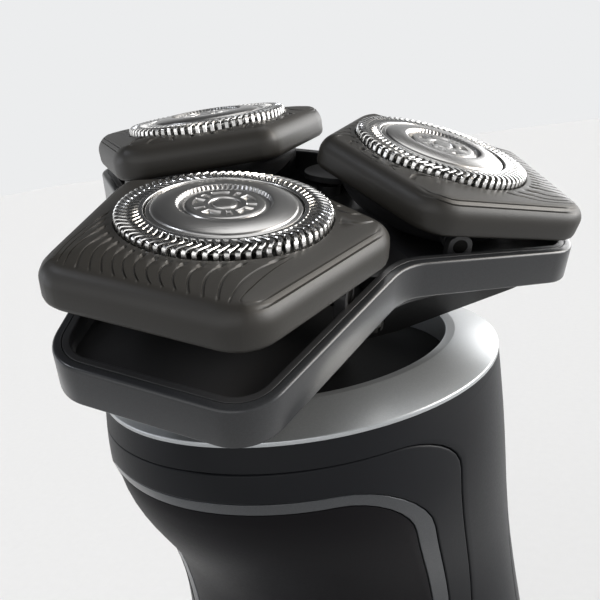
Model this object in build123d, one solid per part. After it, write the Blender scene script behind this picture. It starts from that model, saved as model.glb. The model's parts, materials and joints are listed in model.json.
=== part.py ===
from build123d import *
import os
from math import acos, cos, pi, radians, sin, tan

# Cordless rotary shaver with three tilting heads on a shaving unit that swivels on a gimbal.
# Millimetres and degrees. The handle stands on its flat base at z = 0 and its front faces -Y.

# Fits
FIT_GAP = 0.1            # between fixed pieces that drop into each other
RUN_GAP = 0.05           # radial clearance of a running pin or shaft
MOVE_GAP = 0.3           # least gap between pieces that move past each other

# Pose shown: lean of the shaving unit on its gimbal, and tilt of each head (outer edge down is plus)
UNIT_LEAN_FRONT = 12.7
UNIT_LEAN_RIGHT = 14.5
HEADS = {"front": (-90.0, -3.0), "right": (30.0, 13.5), "left": (150.0, 13.5)}

# Shaving unit, heights measured from the gimbal centre along the unit's own axis
HEAD_OFFSET = 17.0       # unit axis to each head's centre
LOBE_REACH = 33.5        # unit axis to the straight outer edge of a lobe
SIDE_DISTANCE = 19.0     # unit axis to a lobe's side edge, square to that edge
SIDE_TAPER = 15.0        # lobe side edges converge outwards
LOBE_CORNER = 5.0
NOTCH_ROUND = 9.0
PIVOT_HEIGHT = 12.0      # tilt axis of the heads
RIM_SLOPE = 8.0
RIM_DROP = 0.55          # rim plane below the tilt axis, at the head's centre
BAND_WALL = 0.9
BAND_DEPTH = 4.3
TRAY_WALL = 0.8
TRAY_FLOOR_TOP = 7.9
TRAY_FLOOR_BOTTOM = 7.0
DECK_RADIUS = 3.7        # web that closes the tray at each notch
DECK_DROP = 1.3          # web below the rim planes
DECK_THICKNESS = 0.8
UNDERSIDE_DRAW_IN = 6.5  # how far the underside draws in between the tray and the hub
UNDERSIDE_BOTTOM = -2.0
UNDERSIDE_SLOPE = 19.6   # lobes rise outwards from the hub
HUB_RADIUS = 12.6
HUB_BORE = 10.4
HUB_BORE_TOP = 4.0
UNIT_SCREW_CIRCLE = 15.0
UNIT_SCREW_RADIUS = 0.9
UNIT_SCREW_HEAD_RADIUS = 1.6
UNIT_SCREW_HEAD_HEIGHT = 1.2
UNIT_SCREW_SLOT = 0.45
UNIT_SCREW_SEAT = 3.5
UNIT_SCREW_LENGTH = 5.1
UNIT_SCREW_BOSS = 1.4    # height of the tray's screw bosses

# Gears
GEAR_FLOOR = 4.6
GEAR_CLEARANCE = 0.3     # above and below the gears
PINION_TEETH = 18
DRIVEN_TEETH = 30
PRESSURE_ANGLE = 20.0
BACKLASH = 0.16
ADDENDUM = 0.9           # in modules
DEDENDUM = 1.2           # in modules
FLANK_STEPS = 4
GEAR_POCKET_GAP = 0.4
SPINDLE_RADIUS = 1.2
SPINDLE_FOOT = 0.9       # how deep the spindle sits in the gear floor
SPINDLE_HEX = 3.6        # across flats of the ball-hex tip
SPINDLE_SOCKET_HEX = 4.1
PINION_HUB_RADIUS = 3.5
PINION_SKIRT = 1.3       # how far the hub's socket reaches below the gimbal centre
PINION_SOCKET_DEPTH = 2.8
PINION_PEG_RADIUS = 1.4
SHAFT_HEX = 4.0
SHAFT_SOCKET_HEX = 4.54
HEX_TIP_HEIGHT = 1.0
HEX_TIP_CHAMFER = 0.2

# Gimbal
RING_INNER = 7.6
RING_OUTER = 9.2
RING_HEIGHT = 2.6
GIMBAL_PIN_RADIUS = 0.8
POST_OUTER = 6.4
POST_BORE = 4.6
POST_TOP = 1.2

# Shaving heads, measured from the tilt axis
PLATE_BOTTOM = 1.7
PLATE_THICKNESS = 4.6
PLATE_EDGE_INSET = 0.3   # plate edge inside the tray's outline
PLATE_SPLIT = 1.56       # half the gap between neighbouring plates
PLATE_CORNER = 4.2
PLATE_INNER_CORNER = 3.0
PLATE_CROWN = 2.4        # round of the plate's upper edge
PLATE_LOWER_ROUND = 0.8
CAP_RADIUS = 10.6
CAP_PROUD = 0.75         # cap stands above the plate
CAP_WALL = 0.45
CAP_EDGE_ROUND = 0.8     # round of the cap's upper edge, in walls
CAP_TRACK = 2.9          # width of the slotted track
CAP_SLOTS = 72
CAP_SLOT_WIDTH = 0.36
CAP_SLOT_LEAN = 4.0      # degrees, each way from the kink
CAP_SLOT_KINK = 0.4      # share of the slot inside the kink
CAP_SLOT_DROP = 1.3      # how far the slots run down the side wall
DISC_DEPTH = 1.5
DISC_DOME = 0.4
DISC_SHOULDER = 0.8      # share of the dome reached halfway to the dish
DISH_RADIUS = 4.8
DISH_DEPTH = 0.4
DISH_SLOTS = 5
DISH_SLOT_SIZE = (1.9, 0.7)
DISH_HUB_RADIUS = 1.5
CUTTER_WEB = 0.7
CUTTER_BLADES = 15
CUTTER_BLADE_THICKNESS = 0.5
CUTTER_HUB_RADIUS = 3.4
CUTTER_SKIRT = 1.2       # hub reaches below the tilt axis
CUTTER_SOCKET_DEPTH = 3.4
RETAINER_THICKNESS = 1.0
RETAINER_HOLES = 6
RETAINER_HOLE_RADIUS = 1.9
BOWL_RADIUS = 11.4
BOWL_DEPTH = 2.3         # below the tilt axis
BOWL_OUTER_BULGE = 0.55  # depth two thirds of the way out, as a share of the bowl's
BOWL_INNER_BULGE = 0.45  # rise of the inside there, as a share of the bowl's depth
BOWL_FLAT_RADIUS = 5.5
BOWL_WALL = 0.8
BOWL_LIP = 1.2           # lip that stands in the plate's bore
BOWL_SPINDLE_HOLE = 2.6
PIVOT_PIN_RADIUS = 0.8
PIVOT_BOSS_RADIUS = 1.4
PIVOT_POST_INNER = 12.0  # head centre to the inner face of a pivot post
PIVOT_POST_THICKNESS = 1.2
PIVOT_PIN_SEAT = 2.1     # pin length held in the bowl's boss

# Neck, measured down from the gimbal centre
GIMBAL_HEIGHT = 128.0    # above the base
COLLAR_RIM_RADIUS = 19.7
COLLAR_RIM_DROP = 6.8
COLLAR_EDGE_RADIUS = 26.1
COLLAR_EDGE_DROP = 8.6
COLLAR_EDGE_HEIGHT = 0.5
COLLAR_WALL = 1.2
NECK_FLOOR_DROP = 11.0
NECK_PLATE_THICKNESS = 2.0
GASKET_SIZE = 1.0
SEAL_DROP = 5.0
SEAL_HEIGHT = 3.0
PARTING_DROP = 11.8      # thin joint line below the neck

# Handle stations: drop below the collar's seat or height above the base, half width, half depth, shift back
UPPER_STATIONS = [
    (8.5, 26.3, 26.4, -0.6),
    (26.5, 25.7, 20.6, 2.6),
    (52.5, 27.0, 20.2, 3.8),
]
LOWER_STATIONS = [
    (36.0, 24.4, 19.4, 3.0),
    (10.0, 20.2, 17.0, 0.8),
    (0.0, 17.5, 14.5, 0.0),
]
WALL = 2.0
SPLIT_Y = 3.0            # joint plane between the neck housing's sides and the rear shell
BASE_HEIGHT = 7.0
BASE_FLOOR = 2.5

# Front shell: a frame round the fascia, whose upper edge is the joint line below the neck
FRAME_FOOT = 19.0
FRAME_TOP_HALF = 24.0
FRAME_FOOT_HALF = 18.0
FRAME_CORNER = 5.0

# Front fascia
FASCIA_DROP = 7.4        # top edge below the collar's seat
FASCIA_FOOT = 24.0
FASCIA_TOP_HALF = 20.0
FASCIA_FOOT_HALF = 15.0
FASCIA_CORNER = 6.0
FASCIA_RECESS = 0.5
TRIM_WIDTH = 1.5
TRIM_RECESS = 0.2
BUTTON_BELOW_CRADLE = 8.5
BUTTON_RADIUS = 6.5
BUTTON_DISH_RADIUS = 26.0
BUTTON_PROUD = 0.5
BUTTON_DEPTH = 2.6
BUTTON_TRAVEL = 0.7
BUTTON_STEM_RADIUS = 2.0
BUTTON_FLANGE = 0.9      # width and thickness of the flange behind the fascia
BUTTON_FLANGE_SETBACK = 0.8
LENS_BELOW_BUTTON = 14.0
LENS_SIZE = (7.0, 1.8)

# Rear grip
GRIP_DROP = 26.0         # top edge below the collar's seat
GRIP_FOOT = 30.0
GRIP_HALF_WIDTH = 12.0
GRIP_CORNER = 10.0
GRIP_DEPTH = 1.0

# Inside the handle
MOTOR_RADIUS = 10.5
MOTOR_LENGTH = 30.0
MOTOR_WALL = 1.4
MOTOR_AIR = 0.5          # between rotor and can
SHAFT_RADIUS = 1.5
SHAFT_TAIL = 1.5         # shaft end below the motor
CRADLE_THICKNESS = 2.5
CHASSIS_WIDTH = 22.0
CHASSIS_THICKNESS = 2.0
CHASSIS_FRONT_Y = -1.2
CHASSIS_FOOT = (26.0, 8.0, 7.0)
STANDOFF_LENGTH = 1.6
STANDOFF_RADIUS = 1.5
BATTERY_RADIUS = 7.1
BATTERY_LENGTH = 50.0
BATTERY_FOOT = 18.0
BATTERY_TERMINAL = (2.7, 1.2)
BOARD_SIZE = (20.0, 1.6, 46.0)
BOARD_BELOW_CRADLE = 0.5
BOARD_EDGE = 2.5         # board edge to a standoff's centre
SWITCH_SIZE = 6.0
SWITCH_BODY = 2.6
SWITCH_PLUNGER_RADIUS = 1.6
SWITCH_PLUNGER = 0.8
CONTACT_RADIUS = 1.5
CONTACT_SPACING = 10.0
CONTACT_RECESS = 0.15
CONTACT_LENGTH = 4.5
BASE_SCREW_SPACING = 20.0
BASE_SCREW_RADIUS = 1.0
BASE_SCREW_HEAD_RADIUS = 2.0
BASE_SCREW_HEAD_HEIGHT = 1.2
BASE_SCREW_SLOT = 0.5
BASE_SCREW_LENGTH = 6.0

# Values that follow from the sizes above
BIG = 200.0              # larger than the whole object, for cutting blocks
NOTCH_ANGLE = 180 / len(HEADS)  # from a head's direction to the notch beside it
MODULE = 2 * HEAD_OFFSET / (PINION_TEETH + DRIVEN_TEETH)
GEAR_BOTTOM = GEAR_FLOOR + GEAR_CLEARANCE
GEAR_TOP = TRAY_FLOOR_BOTTOM - GEAR_CLEARANCE
PLATE_TOP = PLATE_BOTTOM + PLATE_THICKNESS
CAP_TOP = PLATE_TOP + CAP_PROUD
CAP_INNER = CAP_RADIUS - CAP_TRACK
RETAINER_BOTTOM = PLATE_BOTTOM + BOWL_LIP
RETAINER_TOP = RETAINER_BOTTOM + RETAINER_THICKNESS
COLLAR_SEAT = GIMBAL_HEIGHT - COLLAR_EDGE_DROP - COLLAR_EDGE_HEIGHT
PARTING_HEIGHT = GIMBAL_HEIGHT - PARTING_DROP
NECK_PLATE_TOP = GIMBAL_HEIGHT - NECK_FLOOR_DROP
NECK_PLATE_RADIUS = COLLAR_EDGE_RADIUS - WALL - FIT_GAP
MOTOR_TOP = NECK_PLATE_TOP - NECK_PLATE_THICKNESS
MOTOR_FOOT = MOTOR_TOP - MOTOR_LENGTH
CRADLE_FOOT = MOTOR_FOOT - CRADLE_THICKNESS
BUTTON_HEIGHT = CRADLE_FOOT - BUTTON_BELOW_CRADLE
BOARD_FOOT = CRADLE_FOOT - BOARD_BELOW_CRADLE - BOARD_SIZE[2]
CHASSIS_BACK_Y = CHASSIS_FRONT_Y + CHASSIS_THICKNESS
BOARD_BACK_Y = CHASSIS_FRONT_Y - STANDOFF_LENGTH
BOARD_FRONT_Y = BOARD_BACK_Y - BOARD_SIZE[1]
PLUNGER_TIP_Y = BOARD_FRONT_Y - SWITCH_BODY - SWITCH_PLUNGER

FROM_BOTTOM = (Align.CENTER, Align.CENTER, Align.MIN)


# Small makers

def rod(radius, bottom, top):
    """Round bar along Z."""
    return Pos(0, 0, bottom) * Cylinder(radius, top - bottom, align=FROM_BOTTOM)


def tube(outer, bore, bottom, top):
    """Round tube along Z."""
    return rod(outer, bottom, top) - rod(bore, bottom, top)


def hex_bar(across_flats, bottom, top):
    """Six-sided bar along Z."""
    return extrude(Pos(0, 0, bottom) * RegularPolygon(across_flats / 2, 6, major_radius=False), top - bottom)


def turned(corners):
    """Body of revolution about Z from (radius, height) corners."""
    outline = Polyline(*[(radius, 0, height) for radius, height in corners], close=True)
    return revolve(make_face(outline), Axis.Z)


def slab(bottom, top):
    """Everything between two heights."""
    return Pos(0, 0, bottom) * Box(BIG, BIG, top - bottom, align=FROM_BOTTOM)


def block_above():
    """Everything above z = 0."""
    return slab(0, BIG)


def polar(radius, angle):
    """Place at a radius and an angle about Z, turned with the angle."""
    return Rot(0, 0, angle) * Pos(radius, 0, 0)


def ring_of(shape, radius, count):
    """Copies of a shape spread evenly on a circle."""
    return [polar(radius, index * 360 / count) * shape for index in range(count)]


# Places of the moving groups

GIMBAL_PLACE = Pos(0, 0, GIMBAL_HEIGHT) * Rot(UNIT_LEAN_FRONT, 0, 0)
UNIT_PLACE = GIMBAL_PLACE * Rot(0, UNIT_LEAN_RIGHT, 0)


def head_place(name):
    """Place of a head's own frame: x outwards, y along the tilt axis, z through the cap."""
    angle, tilt = HEADS[name]
    return UNIT_PLACE * polar(HEAD_OFFSET, angle) * Pos(0, 0, PIVOT_HEIGHT) * Rot(0, tilt, 0)


# Shaving unit outline: three lobes with straight outer edges, joined by round notches

def carrier_face(inset, height):
    """Outline of the shaving unit, drawn in by the inset."""
    reach = LOBE_REACH - inset
    taper = radians(SIDE_TAPER)
    half = (SIDE_DISTANCE - inset - sin(taper) * reach) / cos(taper)
    notch = (SIDE_DISTANCE - inset) / cos(taper)
    corners = []
    for angle, _ in HEADS.values():
        for point in ((reach, -half), (reach, half)):
            corners.append(Vector(*point).rotate(Axis.Z, angle))
        corners.append(Vector(notch, 0).rotate(Axis.Z, angle + NOTCH_ANGLE))
    face = make_face(Polyline(*corners, close=True))
    outer = face.vertices().filter_by(lambda v: Vector(v.X, v.Y).length > notch + MOVE_GAP)
    face = fillet(outer, LOBE_CORNER * (1 - inset / LOBE_REACH))
    notches = [Vector(notch, 0).rotate(Axis.Z, angle + NOTCH_ANGLE) for angle, _ in HEADS.values()]
    inner = [face.vertices().sort_by_distance(point)[0] for point in notches]
    return Pos(0, 0, height) * fillet(inner, NOTCH_ROUND)


def above_rim(drop):
    """Blocks above the three sloping rim planes, lowered by a drop."""
    height = PIVOT_HEIGHT - RIM_DROP - drop
    return [polar(HEAD_OFFSET, angle) * Pos(0, 0, height) * Rot(0, RIM_SLOPE, 0) * block_above()
            for angle, _ in HEADS.values()]


def carrier_prism(inset, bottom):
    """The outline as an upright block, tall enough to be cut by the rim planes."""
    return extrude(carrier_face(inset, bottom), 2 * PIVOT_HEIGHT)


# Pieces of the shaving unit

def make_carrier_band():
    band = carrier_prism(0, -PIVOT_HEIGHT / 2) - carrier_prism(BAND_WALL, -PIVOT_HEIGHT / 2)
    band = band - above_rim(0)
    lower = above_rim(BAND_DEPTH)
    return band & (lower[0] + lower[1] + lower[2])


def make_carrier_tray():
    tray = carrier_prism(BAND_WALL, TRAY_FLOOR_BOTTOM) - above_rim(0)
    tray = tray - carrier_prism(BAND_WALL + TRAY_WALL, TRAY_FLOOR_TOP)
    post = make_pivot_post()
    boss = rod(UNIT_SCREW_HEAD_RADIUS, TRAY_FLOOR_TOP, TRAY_FLOOR_TOP + UNIT_SCREW_BOSS)
    screw = rod(UNIT_SCREW_RADIUS, UNIT_SCREW_SEAT, UNIT_SCREW_SEAT + UNIT_SCREW_LENGTH)
    under = above_rim(DECK_DROP + DECK_THICKNESS)
    deck = carrier_prism(BAND_WALL, TRAY_FLOOR_TOP) - above_rim(DECK_DROP)
    deck = deck & (under[0] + under[1] + under[2])
    for angle, _ in HEADS.values():
        place = polar(HEAD_OFFSET, angle)
        tray = tray + place * post + place * mirror(post, Plane.XZ)
        tray = tray - place * rod(SPINDLE_RADIUS + RUN_GAP, TRAY_FLOOR_BOTTOM, TRAY_FLOOR_TOP)
        notch = polar(UNIT_SCREW_CIRCLE, angle + NOTCH_ANGLE)
        tray = tray + notch * boss - notch * screw
        tray = tray + (deck & notch * rod(DECK_RADIUS, TRAY_FLOOR_TOP, 2 * PIVOT_HEIGHT))
    return tray + rod(PINION_PEG_RADIUS, GEAR_BOTTOM + GEAR_CLEARANCE, TRAY_FLOOR_BOTTOM)


def make_pivot_post():
    """One upright that carries a head's pivot pin, at the head's centre."""
    middle = PIVOT_POST_INNER + PIVOT_POST_THICKNESS / 2
    height = PIVOT_HEIGHT - TRAY_FLOOR_TOP
    place = Pos(0, middle, TRAY_FLOOR_TOP)
    upright = place * Box(2 * PIVOT_BOSS_RADIUS, PIVOT_POST_THICKNESS, height, align=FROM_BOTTOM)
    eye = Pos(0, middle, PIVOT_HEIGHT) * Rot(90, 0, 0)
    upright = upright + eye * Cylinder(PIVOT_BOSS_RADIUS, PIVOT_POST_THICKNESS)
    return upright - eye * Cylinder(PIVOT_PIN_RADIUS + RUN_GAP, PIVOT_POST_THICKNESS)


def make_unit_base():
    """Underside of the shaving unit: drawn-in lobes, gear pockets and the gimbal hub."""
    base = loft([carrier_face(BAND_WALL + UNDERSIDE_DRAW_IN, UNDERSIDE_BOTTOM),
                 carrier_face(BAND_WALL, TRAY_FLOOR_BOTTOM)], ruled=True)
    below = slab(-BIG, 0)
    for angle, _ in HEADS.values():
        edge = polar(HUB_RADIUS, angle) * Pos(0, 0, UNDERSIDE_BOTTOM)
        base = base - edge * Rot(0, -UNDERSIDE_SLOPE, 0) * below
    base = base + rod(HUB_RADIUS, UNDERSIDE_BOTTOM, GEAR_FLOOR)
    base = base - rod(HUB_BORE, UNDERSIDE_BOTTOM, HUB_BORE_TOP)
    base = base - rod(gear_tip_radius(PINION_TEETH) + GEAR_POCKET_GAP, HUB_BORE_TOP, TRAY_FLOOR_BOTTOM)
    pocket = rod(gear_tip_radius(DRIVEN_TEETH) + GEAR_POCKET_GAP, GEAR_FLOOR, TRAY_FLOOR_BOTTOM)
    bearing = rod(SPINDLE_RADIUS + RUN_GAP, GEAR_FLOOR - SPINDLE_FOOT - RUN_GAP, GEAR_FLOOR)
    seat = rod(UNIT_SCREW_HEAD_RADIUS + FIT_GAP, UNDERSIDE_BOTTOM - UNIT_SCREW_SEAT, UNIT_SCREW_SEAT)
    shank = rod(UNIT_SCREW_RADIUS + FIT_GAP, UNIT_SCREW_SEAT, TRAY_FLOOR_BOTTOM)
    for angle, _ in HEADS.values():
        base = base - polar(HEAD_OFFSET, angle) * (pocket + bearing)
        base = base - polar(UNIT_SCREW_CIRCLE, angle + NOTCH_ANGLE) * (seat + shank)
    return base - Rot(90, 0, 0) * Cylinder(GIMBAL_PIN_RADIUS, 2 * HUB_RADIUS)


def make_unit_screws():
    head = rod(UNIT_SCREW_HEAD_RADIUS, UNIT_SCREW_SEAT - UNIT_SCREW_HEAD_HEIGHT, UNIT_SCREW_SEAT)
    slot = Pos(0, 0, UNIT_SCREW_SEAT - UNIT_SCREW_HEAD_HEIGHT)
    drive = slot * Box(2 * UNIT_SCREW_HEAD_RADIUS, UNIT_SCREW_SLOT, UNIT_SCREW_HEAD_HEIGHT)
    shank = rod(UNIT_SCREW_RADIUS, UNIT_SCREW_SEAT, UNIT_SCREW_SEAT + UNIT_SCREW_LENGTH)
    screw = head - drive + shank
    places = [polar(UNIT_SCREW_CIRCLE, angle + NOTCH_ANGLE) for angle, _ in HEADS.values()]
    return Compound([place * screw for place in places])


# Gears

def gear_tip_radius(teeth):
    return MODULE * (teeth / 2 + ADDENDUM)


def gear_blank(teeth):
    """Involute spur gear between the gear floor and the tray."""
    pitch = MODULE * teeth / 2
    base = pitch * cos(radians(PRESSURE_ANGLE))
    root = pitch - DEDENDUM * MODULE
    start = max(base, root)
    involute = tan(radians(PRESSURE_ANGLE)) - radians(PRESSURE_ANGLE)
    half_pitch_angle = pi / (2 * teeth) - BACKLASH / (4 * pitch) + involute
    flank = []
    for step in range(FLANK_STEPS):
        radius = start + (gear_tip_radius(teeth) - start) * step / (FLANK_STEPS - 1)
        roll = acos(base / radius)
        flank.append((radius, half_pitch_angle - (tan(roll) - roll)))
    flank.insert(0, (root, flank[0][1]))
    points = []
    for tooth in range(teeth):
        middle = 2 * pi * tooth / teeth
        sides = [(radius, middle - angle) for radius, angle in flank]
        sides += [(radius, middle + angle) for radius, angle in reversed(flank)]
        points += [(radius * cos(angle), radius * sin(angle)) for radius, angle in sides]
    return extrude(Pos(0, 0, GEAR_BOTTOM) * make_face(Polyline(*points, close=True)), GEAR_TOP - GEAR_BOTTOM)


def make_drive_pinion():
    pinion = gear_blank(PINION_TEETH) + rod(PINION_HUB_RADIUS, -PINION_SKIRT, GEAR_TOP)
    pinion = pinion - hex_bar(SHAFT_SOCKET_HEX, -PINION_SKIRT, PINION_SOCKET_DEPTH - PINION_SKIRT)
    return pinion - rod(PINION_PEG_RADIUS + RUN_GAP, GEAR_BOTTOM, GEAR_TOP)


def make_driven_gear(angle):
    """Driven gear, turned so that its teeth stand in the pinion's gaps."""
    step = 360 / DRIVEN_TEETH
    phase = (-angle * PINION_TEETH / 360) % 1
    gear = gear_blank(DRIVEN_TEETH) - rod(SPINDLE_RADIUS, GEAR_BOTTOM, GEAR_TOP)
    return Pos(polar(HEAD_OFFSET, angle).position) * Rot(0, 0, angle + 180 - phase * step + step / 2) * gear


def hex_tip(across_flats):
    """Short crowned hex that drives a socket at an angle, centred on the origin."""
    tip = hex_bar(across_flats, -HEX_TIP_HEIGHT / 2, HEX_TIP_HEIGHT / 2)
    return chamfer(tip.faces().filter_by(Axis.Z).edges(), HEX_TIP_CHAMFER)


def make_drive_spindle(angle):
    bottom = GEAR_FLOOR - SPINDLE_FOOT
    spindle = rod(SPINDLE_RADIUS, bottom, PIVOT_HEIGHT) + Pos(0, 0, PIVOT_HEIGHT) * hex_tip(SPINDLE_HEX)
    return polar(HEAD_OFFSET, angle) * spindle


# Pieces of one head, in the head's own frame

def plate_face():
    """Shield outline: the lobe's edges outside, two edges along the gaps to the other heads inside."""
    reach = LOBE_REACH - PLATE_EDGE_INSET - HEAD_OFFSET
    taper = radians(SIDE_TAPER)
    side = SIDE_DISTANCE - PLATE_EDGE_INSET - sin(taper) * HEAD_OFFSET
    half = (side - sin(taper) * reach) / cos(taper)
    inner = PLATE_SPLIT / sin(radians(NOTCH_ANGLE)) - HEAD_OFFSET
    slope = tan(radians(NOTCH_ANGLE))
    wing_x = (side / cos(taper) + slope * inner) / (slope + tan(taper))
    wing_y = slope * (wing_x - inner)
    points = [(reach, -half), (reach, half), (wing_x, wing_y), (inner, 0), (wing_x, -wing_y)]
    face = make_face(Polyline(*points, close=True))
    corners = face.vertices().sort_by(Axis.X)
    face = fillet(corners[1:], PLATE_CORNER)
    tip = face.vertices().sort_by(Axis.X)[0]
    return fillet(tip, PLATE_INNER_CORNER)


def make_skin_plate():
    plate = extrude(Pos(0, 0, PLATE_BOTTOM) * plate_face(), PLATE_THICKNESS)
    plate = fillet(plate.faces().sort_by(Axis.Z)[-1].edges(), PLATE_CROWN)
    plate = fillet(plate.faces().sort_by(Axis.Z)[0].edges(), PLATE_LOWER_ROUND)
    return plate - rod(CAP_RADIUS + FIT_GAP, PLATE_BOTTOM, PLATE_TOP)


def cap_slot():
    """One chevron slot, from the inner end of the track out over the side wall."""
    inner = CAP_INNER + 2 * CAP_WALL
    kink = inner + CAP_SLOT_KINK * (CAP_RADIUS - inner)
    spine = [(inner, 0.0), (kink, CAP_SLOT_LEAN), (CAP_RADIUS + CAP_WALL, -CAP_SLOT_LEAN / 2)]
    edges = []
    for side in (-1, 1):
        edge = [Vector(radius, side * CAP_SLOT_WIDTH / 2).rotate(Axis.Z, angle) for radius, angle in spine]
        edges += edge[::side]
    face = make_face(Polyline(*edges, close=True))
    return extrude(Pos(0, 0, CAP_TOP - CAP_SLOT_DROP) * face, 2 * CAP_SLOT_DROP)


def make_shaving_cap():
    cap = turned([
        (CAP_RADIUS, RETAINER_TOP),
        (CAP_RADIUS, CAP_TOP),
        (CAP_INNER, CAP_TOP),
        (CAP_INNER, CAP_TOP - DISC_DEPTH),
        (CAP_INNER + CAP_WALL, CAP_TOP - DISC_DEPTH),
        (CAP_INNER + CAP_WALL, CAP_TOP - CAP_WALL),
        (CAP_RADIUS - CAP_WALL, CAP_TOP - CAP_WALL),
        (CAP_RADIUS - CAP_WALL, RETAINER_TOP),
    ])
    rims = cap.edges().filter_by(GeomType.CIRCLE).group_by(Axis.Z)[-1]
    cap = fillet(rims.sort_by(SortBy.RADIUS)[-1], CAP_WALL * CAP_EDGE_ROUND)
    slot = cap_slot()
    return cap - [Rot(0, 0, index * 360 / CAP_SLOTS) * slot for index in range(CAP_SLOTS)]


def make_cap_disc():
    disc = turned([
        (0, CAP_TOP - DISC_DEPTH),
        (CAP_INNER, CAP_TOP - DISC_DEPTH),
        (CAP_INNER, CAP_TOP),
        ((CAP_INNER + DISH_RADIUS) / 2, CAP_TOP + DISC_DOME * DISC_SHOULDER),
        (DISH_RADIUS, CAP_TOP + DISC_DOME),
        (DISH_RADIUS, CAP_TOP + DISC_DOME - DISH_DEPTH),
        (DISH_HUB_RADIUS, CAP_TOP + DISC_DOME - DISH_DEPTH),
        (DISH_HUB_RADIUS, CAP_TOP + DISC_DOME - DISH_DEPTH / 2),
        (0, CAP_TOP + DISC_DOME - DISH_DEPTH / 2),
    ])
    slot = Pos(0, 0, CAP_TOP + DISC_DOME - DISH_DEPTH) * Box(*DISH_SLOT_SIZE, DISH_DEPTH)
    return disc - ring_of(slot, (DISH_RADIUS + DISH_HUB_RADIUS) / 2, DISH_SLOTS)


def make_cutter():
    track_inner = CAP_INNER + CAP_WALL + MOVE_GAP
    track_outer = CAP_RADIUS - CAP_WALL - MOVE_GAP
    blade_top = CAP_TOP - CAP_WALL - MOVE_GAP
    web_top = CAP_TOP - DISC_DEPTH - MOVE_GAP
    cutter = rod(CUTTER_HUB_RADIUS, -CUTTER_SKIRT, web_top) + rod(track_outer, web_top - CUTTER_WEB, web_top)
    length = track_outer - track_inner
    blade = Box(length, CUTTER_BLADE_THICKNESS, blade_top - web_top + CUTTER_WEB, align=FROM_BOTTOM)
    blades = ring_of(Pos(0, 0, web_top - CUTTER_WEB) * blade, track_inner + length / 2, CUTTER_BLADES)
    blades = [part & tube(track_outer, track_inner, web_top - CUTTER_WEB, blade_top) for part in blades]
    cutter = cutter + blades
    return cutter - hex_bar(SPINDLE_SOCKET_HEX, -CUTTER_SKIRT, CUTTER_SOCKET_DEPTH - CUTTER_SKIRT)


def make_retainer():
    ring = tube(CAP_RADIUS, CUTTER_HUB_RADIUS + 2 * MOVE_GAP, RETAINER_BOTTOM, RETAINER_TOP)
    hole = rod(RETAINER_HOLE_RADIUS, RETAINER_BOTTOM, RETAINER_TOP)
    return ring - ring_of(hole, (CAP_RADIUS + CUTTER_HUB_RADIUS) / 2, RETAINER_HOLES)


def make_head_base():
    """Bowl under the skin plate, with a lip in the plate's bore and a boss for each pivot pin."""
    lip = CAP_RADIUS
    shoulder = PLATE_BOTTOM - BOWL_WALL
    outer_arc = ThreePointArc((BOWL_FLAT_RADIUS, 0, -BOWL_DEPTH),
                              ((BOWL_FLAT_RADIUS + 2 * BOWL_RADIUS) / 3, 0, -BOWL_DEPTH * BOWL_OUTER_BULGE),
                              (BOWL_RADIUS, 0, shoulder))
    inside = BOWL_WALL - BOWL_DEPTH
    inner_rise = inside + BOWL_DEPTH * BOWL_INNER_BULGE
    inner_arc = ThreePointArc((BOWL_FLAT_RADIUS, 0, inside),
                              ((BOWL_FLAT_RADIUS + 2 * lip) / 3 - BOWL_WALL, 0, inner_rise),
                              (lip - BOWL_WALL, 0, shoulder + BOWL_WALL / 2))
    rim = Polyline((BOWL_RADIUS, 0, shoulder), (BOWL_RADIUS, 0, PLATE_BOTTOM), (lip, 0, PLATE_BOTTOM),
                   (lip, 0, RETAINER_BOTTOM), (lip - BOWL_WALL, 0, RETAINER_BOTTOM),
                   (lip - BOWL_WALL, 0, shoulder + BOWL_WALL / 2))
    floor = Polyline((BOWL_FLAT_RADIUS, 0, inside), (BOWL_SPINDLE_HOLE, 0, inside),
                     (BOWL_SPINDLE_HOLE, 0, -BOWL_DEPTH), (BOWL_FLAT_RADIUS, 0, -BOWL_DEPTH))
    bowl = revolve(make_face(outer_arc + rim + inner_arc + floor), Axis.Z)
    boss_end = PIVOT_POST_INNER - MOVE_GAP
    boss = rod(PIVOT_BOSS_RADIUS, boss_end - PIVOT_PIN_SEAT - BOWL_WALL, boss_end)
    bore = rod(PIVOT_PIN_RADIUS, boss_end - PIVOT_PIN_SEAT, boss_end)
    for turn in (-90, 90):
        bowl = bowl + Rot(turn, 0, 0) * boss - Rot(turn, 0, 0) * bore
    return bowl


def make_pivot_pins():
    start = PIVOT_POST_INNER - MOVE_GAP - PIVOT_PIN_SEAT
    pin = rod(PIVOT_PIN_RADIUS, start, PIVOT_POST_INNER + PIVOT_POST_THICKNESS)
    return Compound([Rot(turn, 0, 0) * pin for turn in (-90, 90)])


# Gimbal and neck, measured from the gimbal centre

def make_gimbal_ring():
    ring = tube(RING_OUTER, RING_INNER, -RING_HEIGHT / 2, RING_HEIGHT / 2)
    ring = ring - Rot(0, 90, 0) * Cylinder(GIMBAL_PIN_RADIUS, 3 * RING_OUTER)
    return ring - Rot(90, 0, 0) * Cylinder(GIMBAL_PIN_RADIUS + RUN_GAP, 3 * RING_OUTER)


def pin_pair(start, end, turns):
    pin = rod(GIMBAL_PIN_RADIUS, start, end)
    return Compound([turn * pin for turn in turns])


def make_pitch_pins():
    """Pins held in the gimbal ring that run in the neck post."""
    return pin_pair((POST_OUTER + POST_BORE) / 2, RING_OUTER, (Rot(0, 90, 0), Rot(0, -90, 0)))


def make_roll_pins():
    """Pins held in the unit's hub that run in the gimbal ring."""
    return pin_pair(RING_INNER, HUB_RADIUS, (Rot(90, 0, 0), Rot(-90, 0, 0)))


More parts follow.
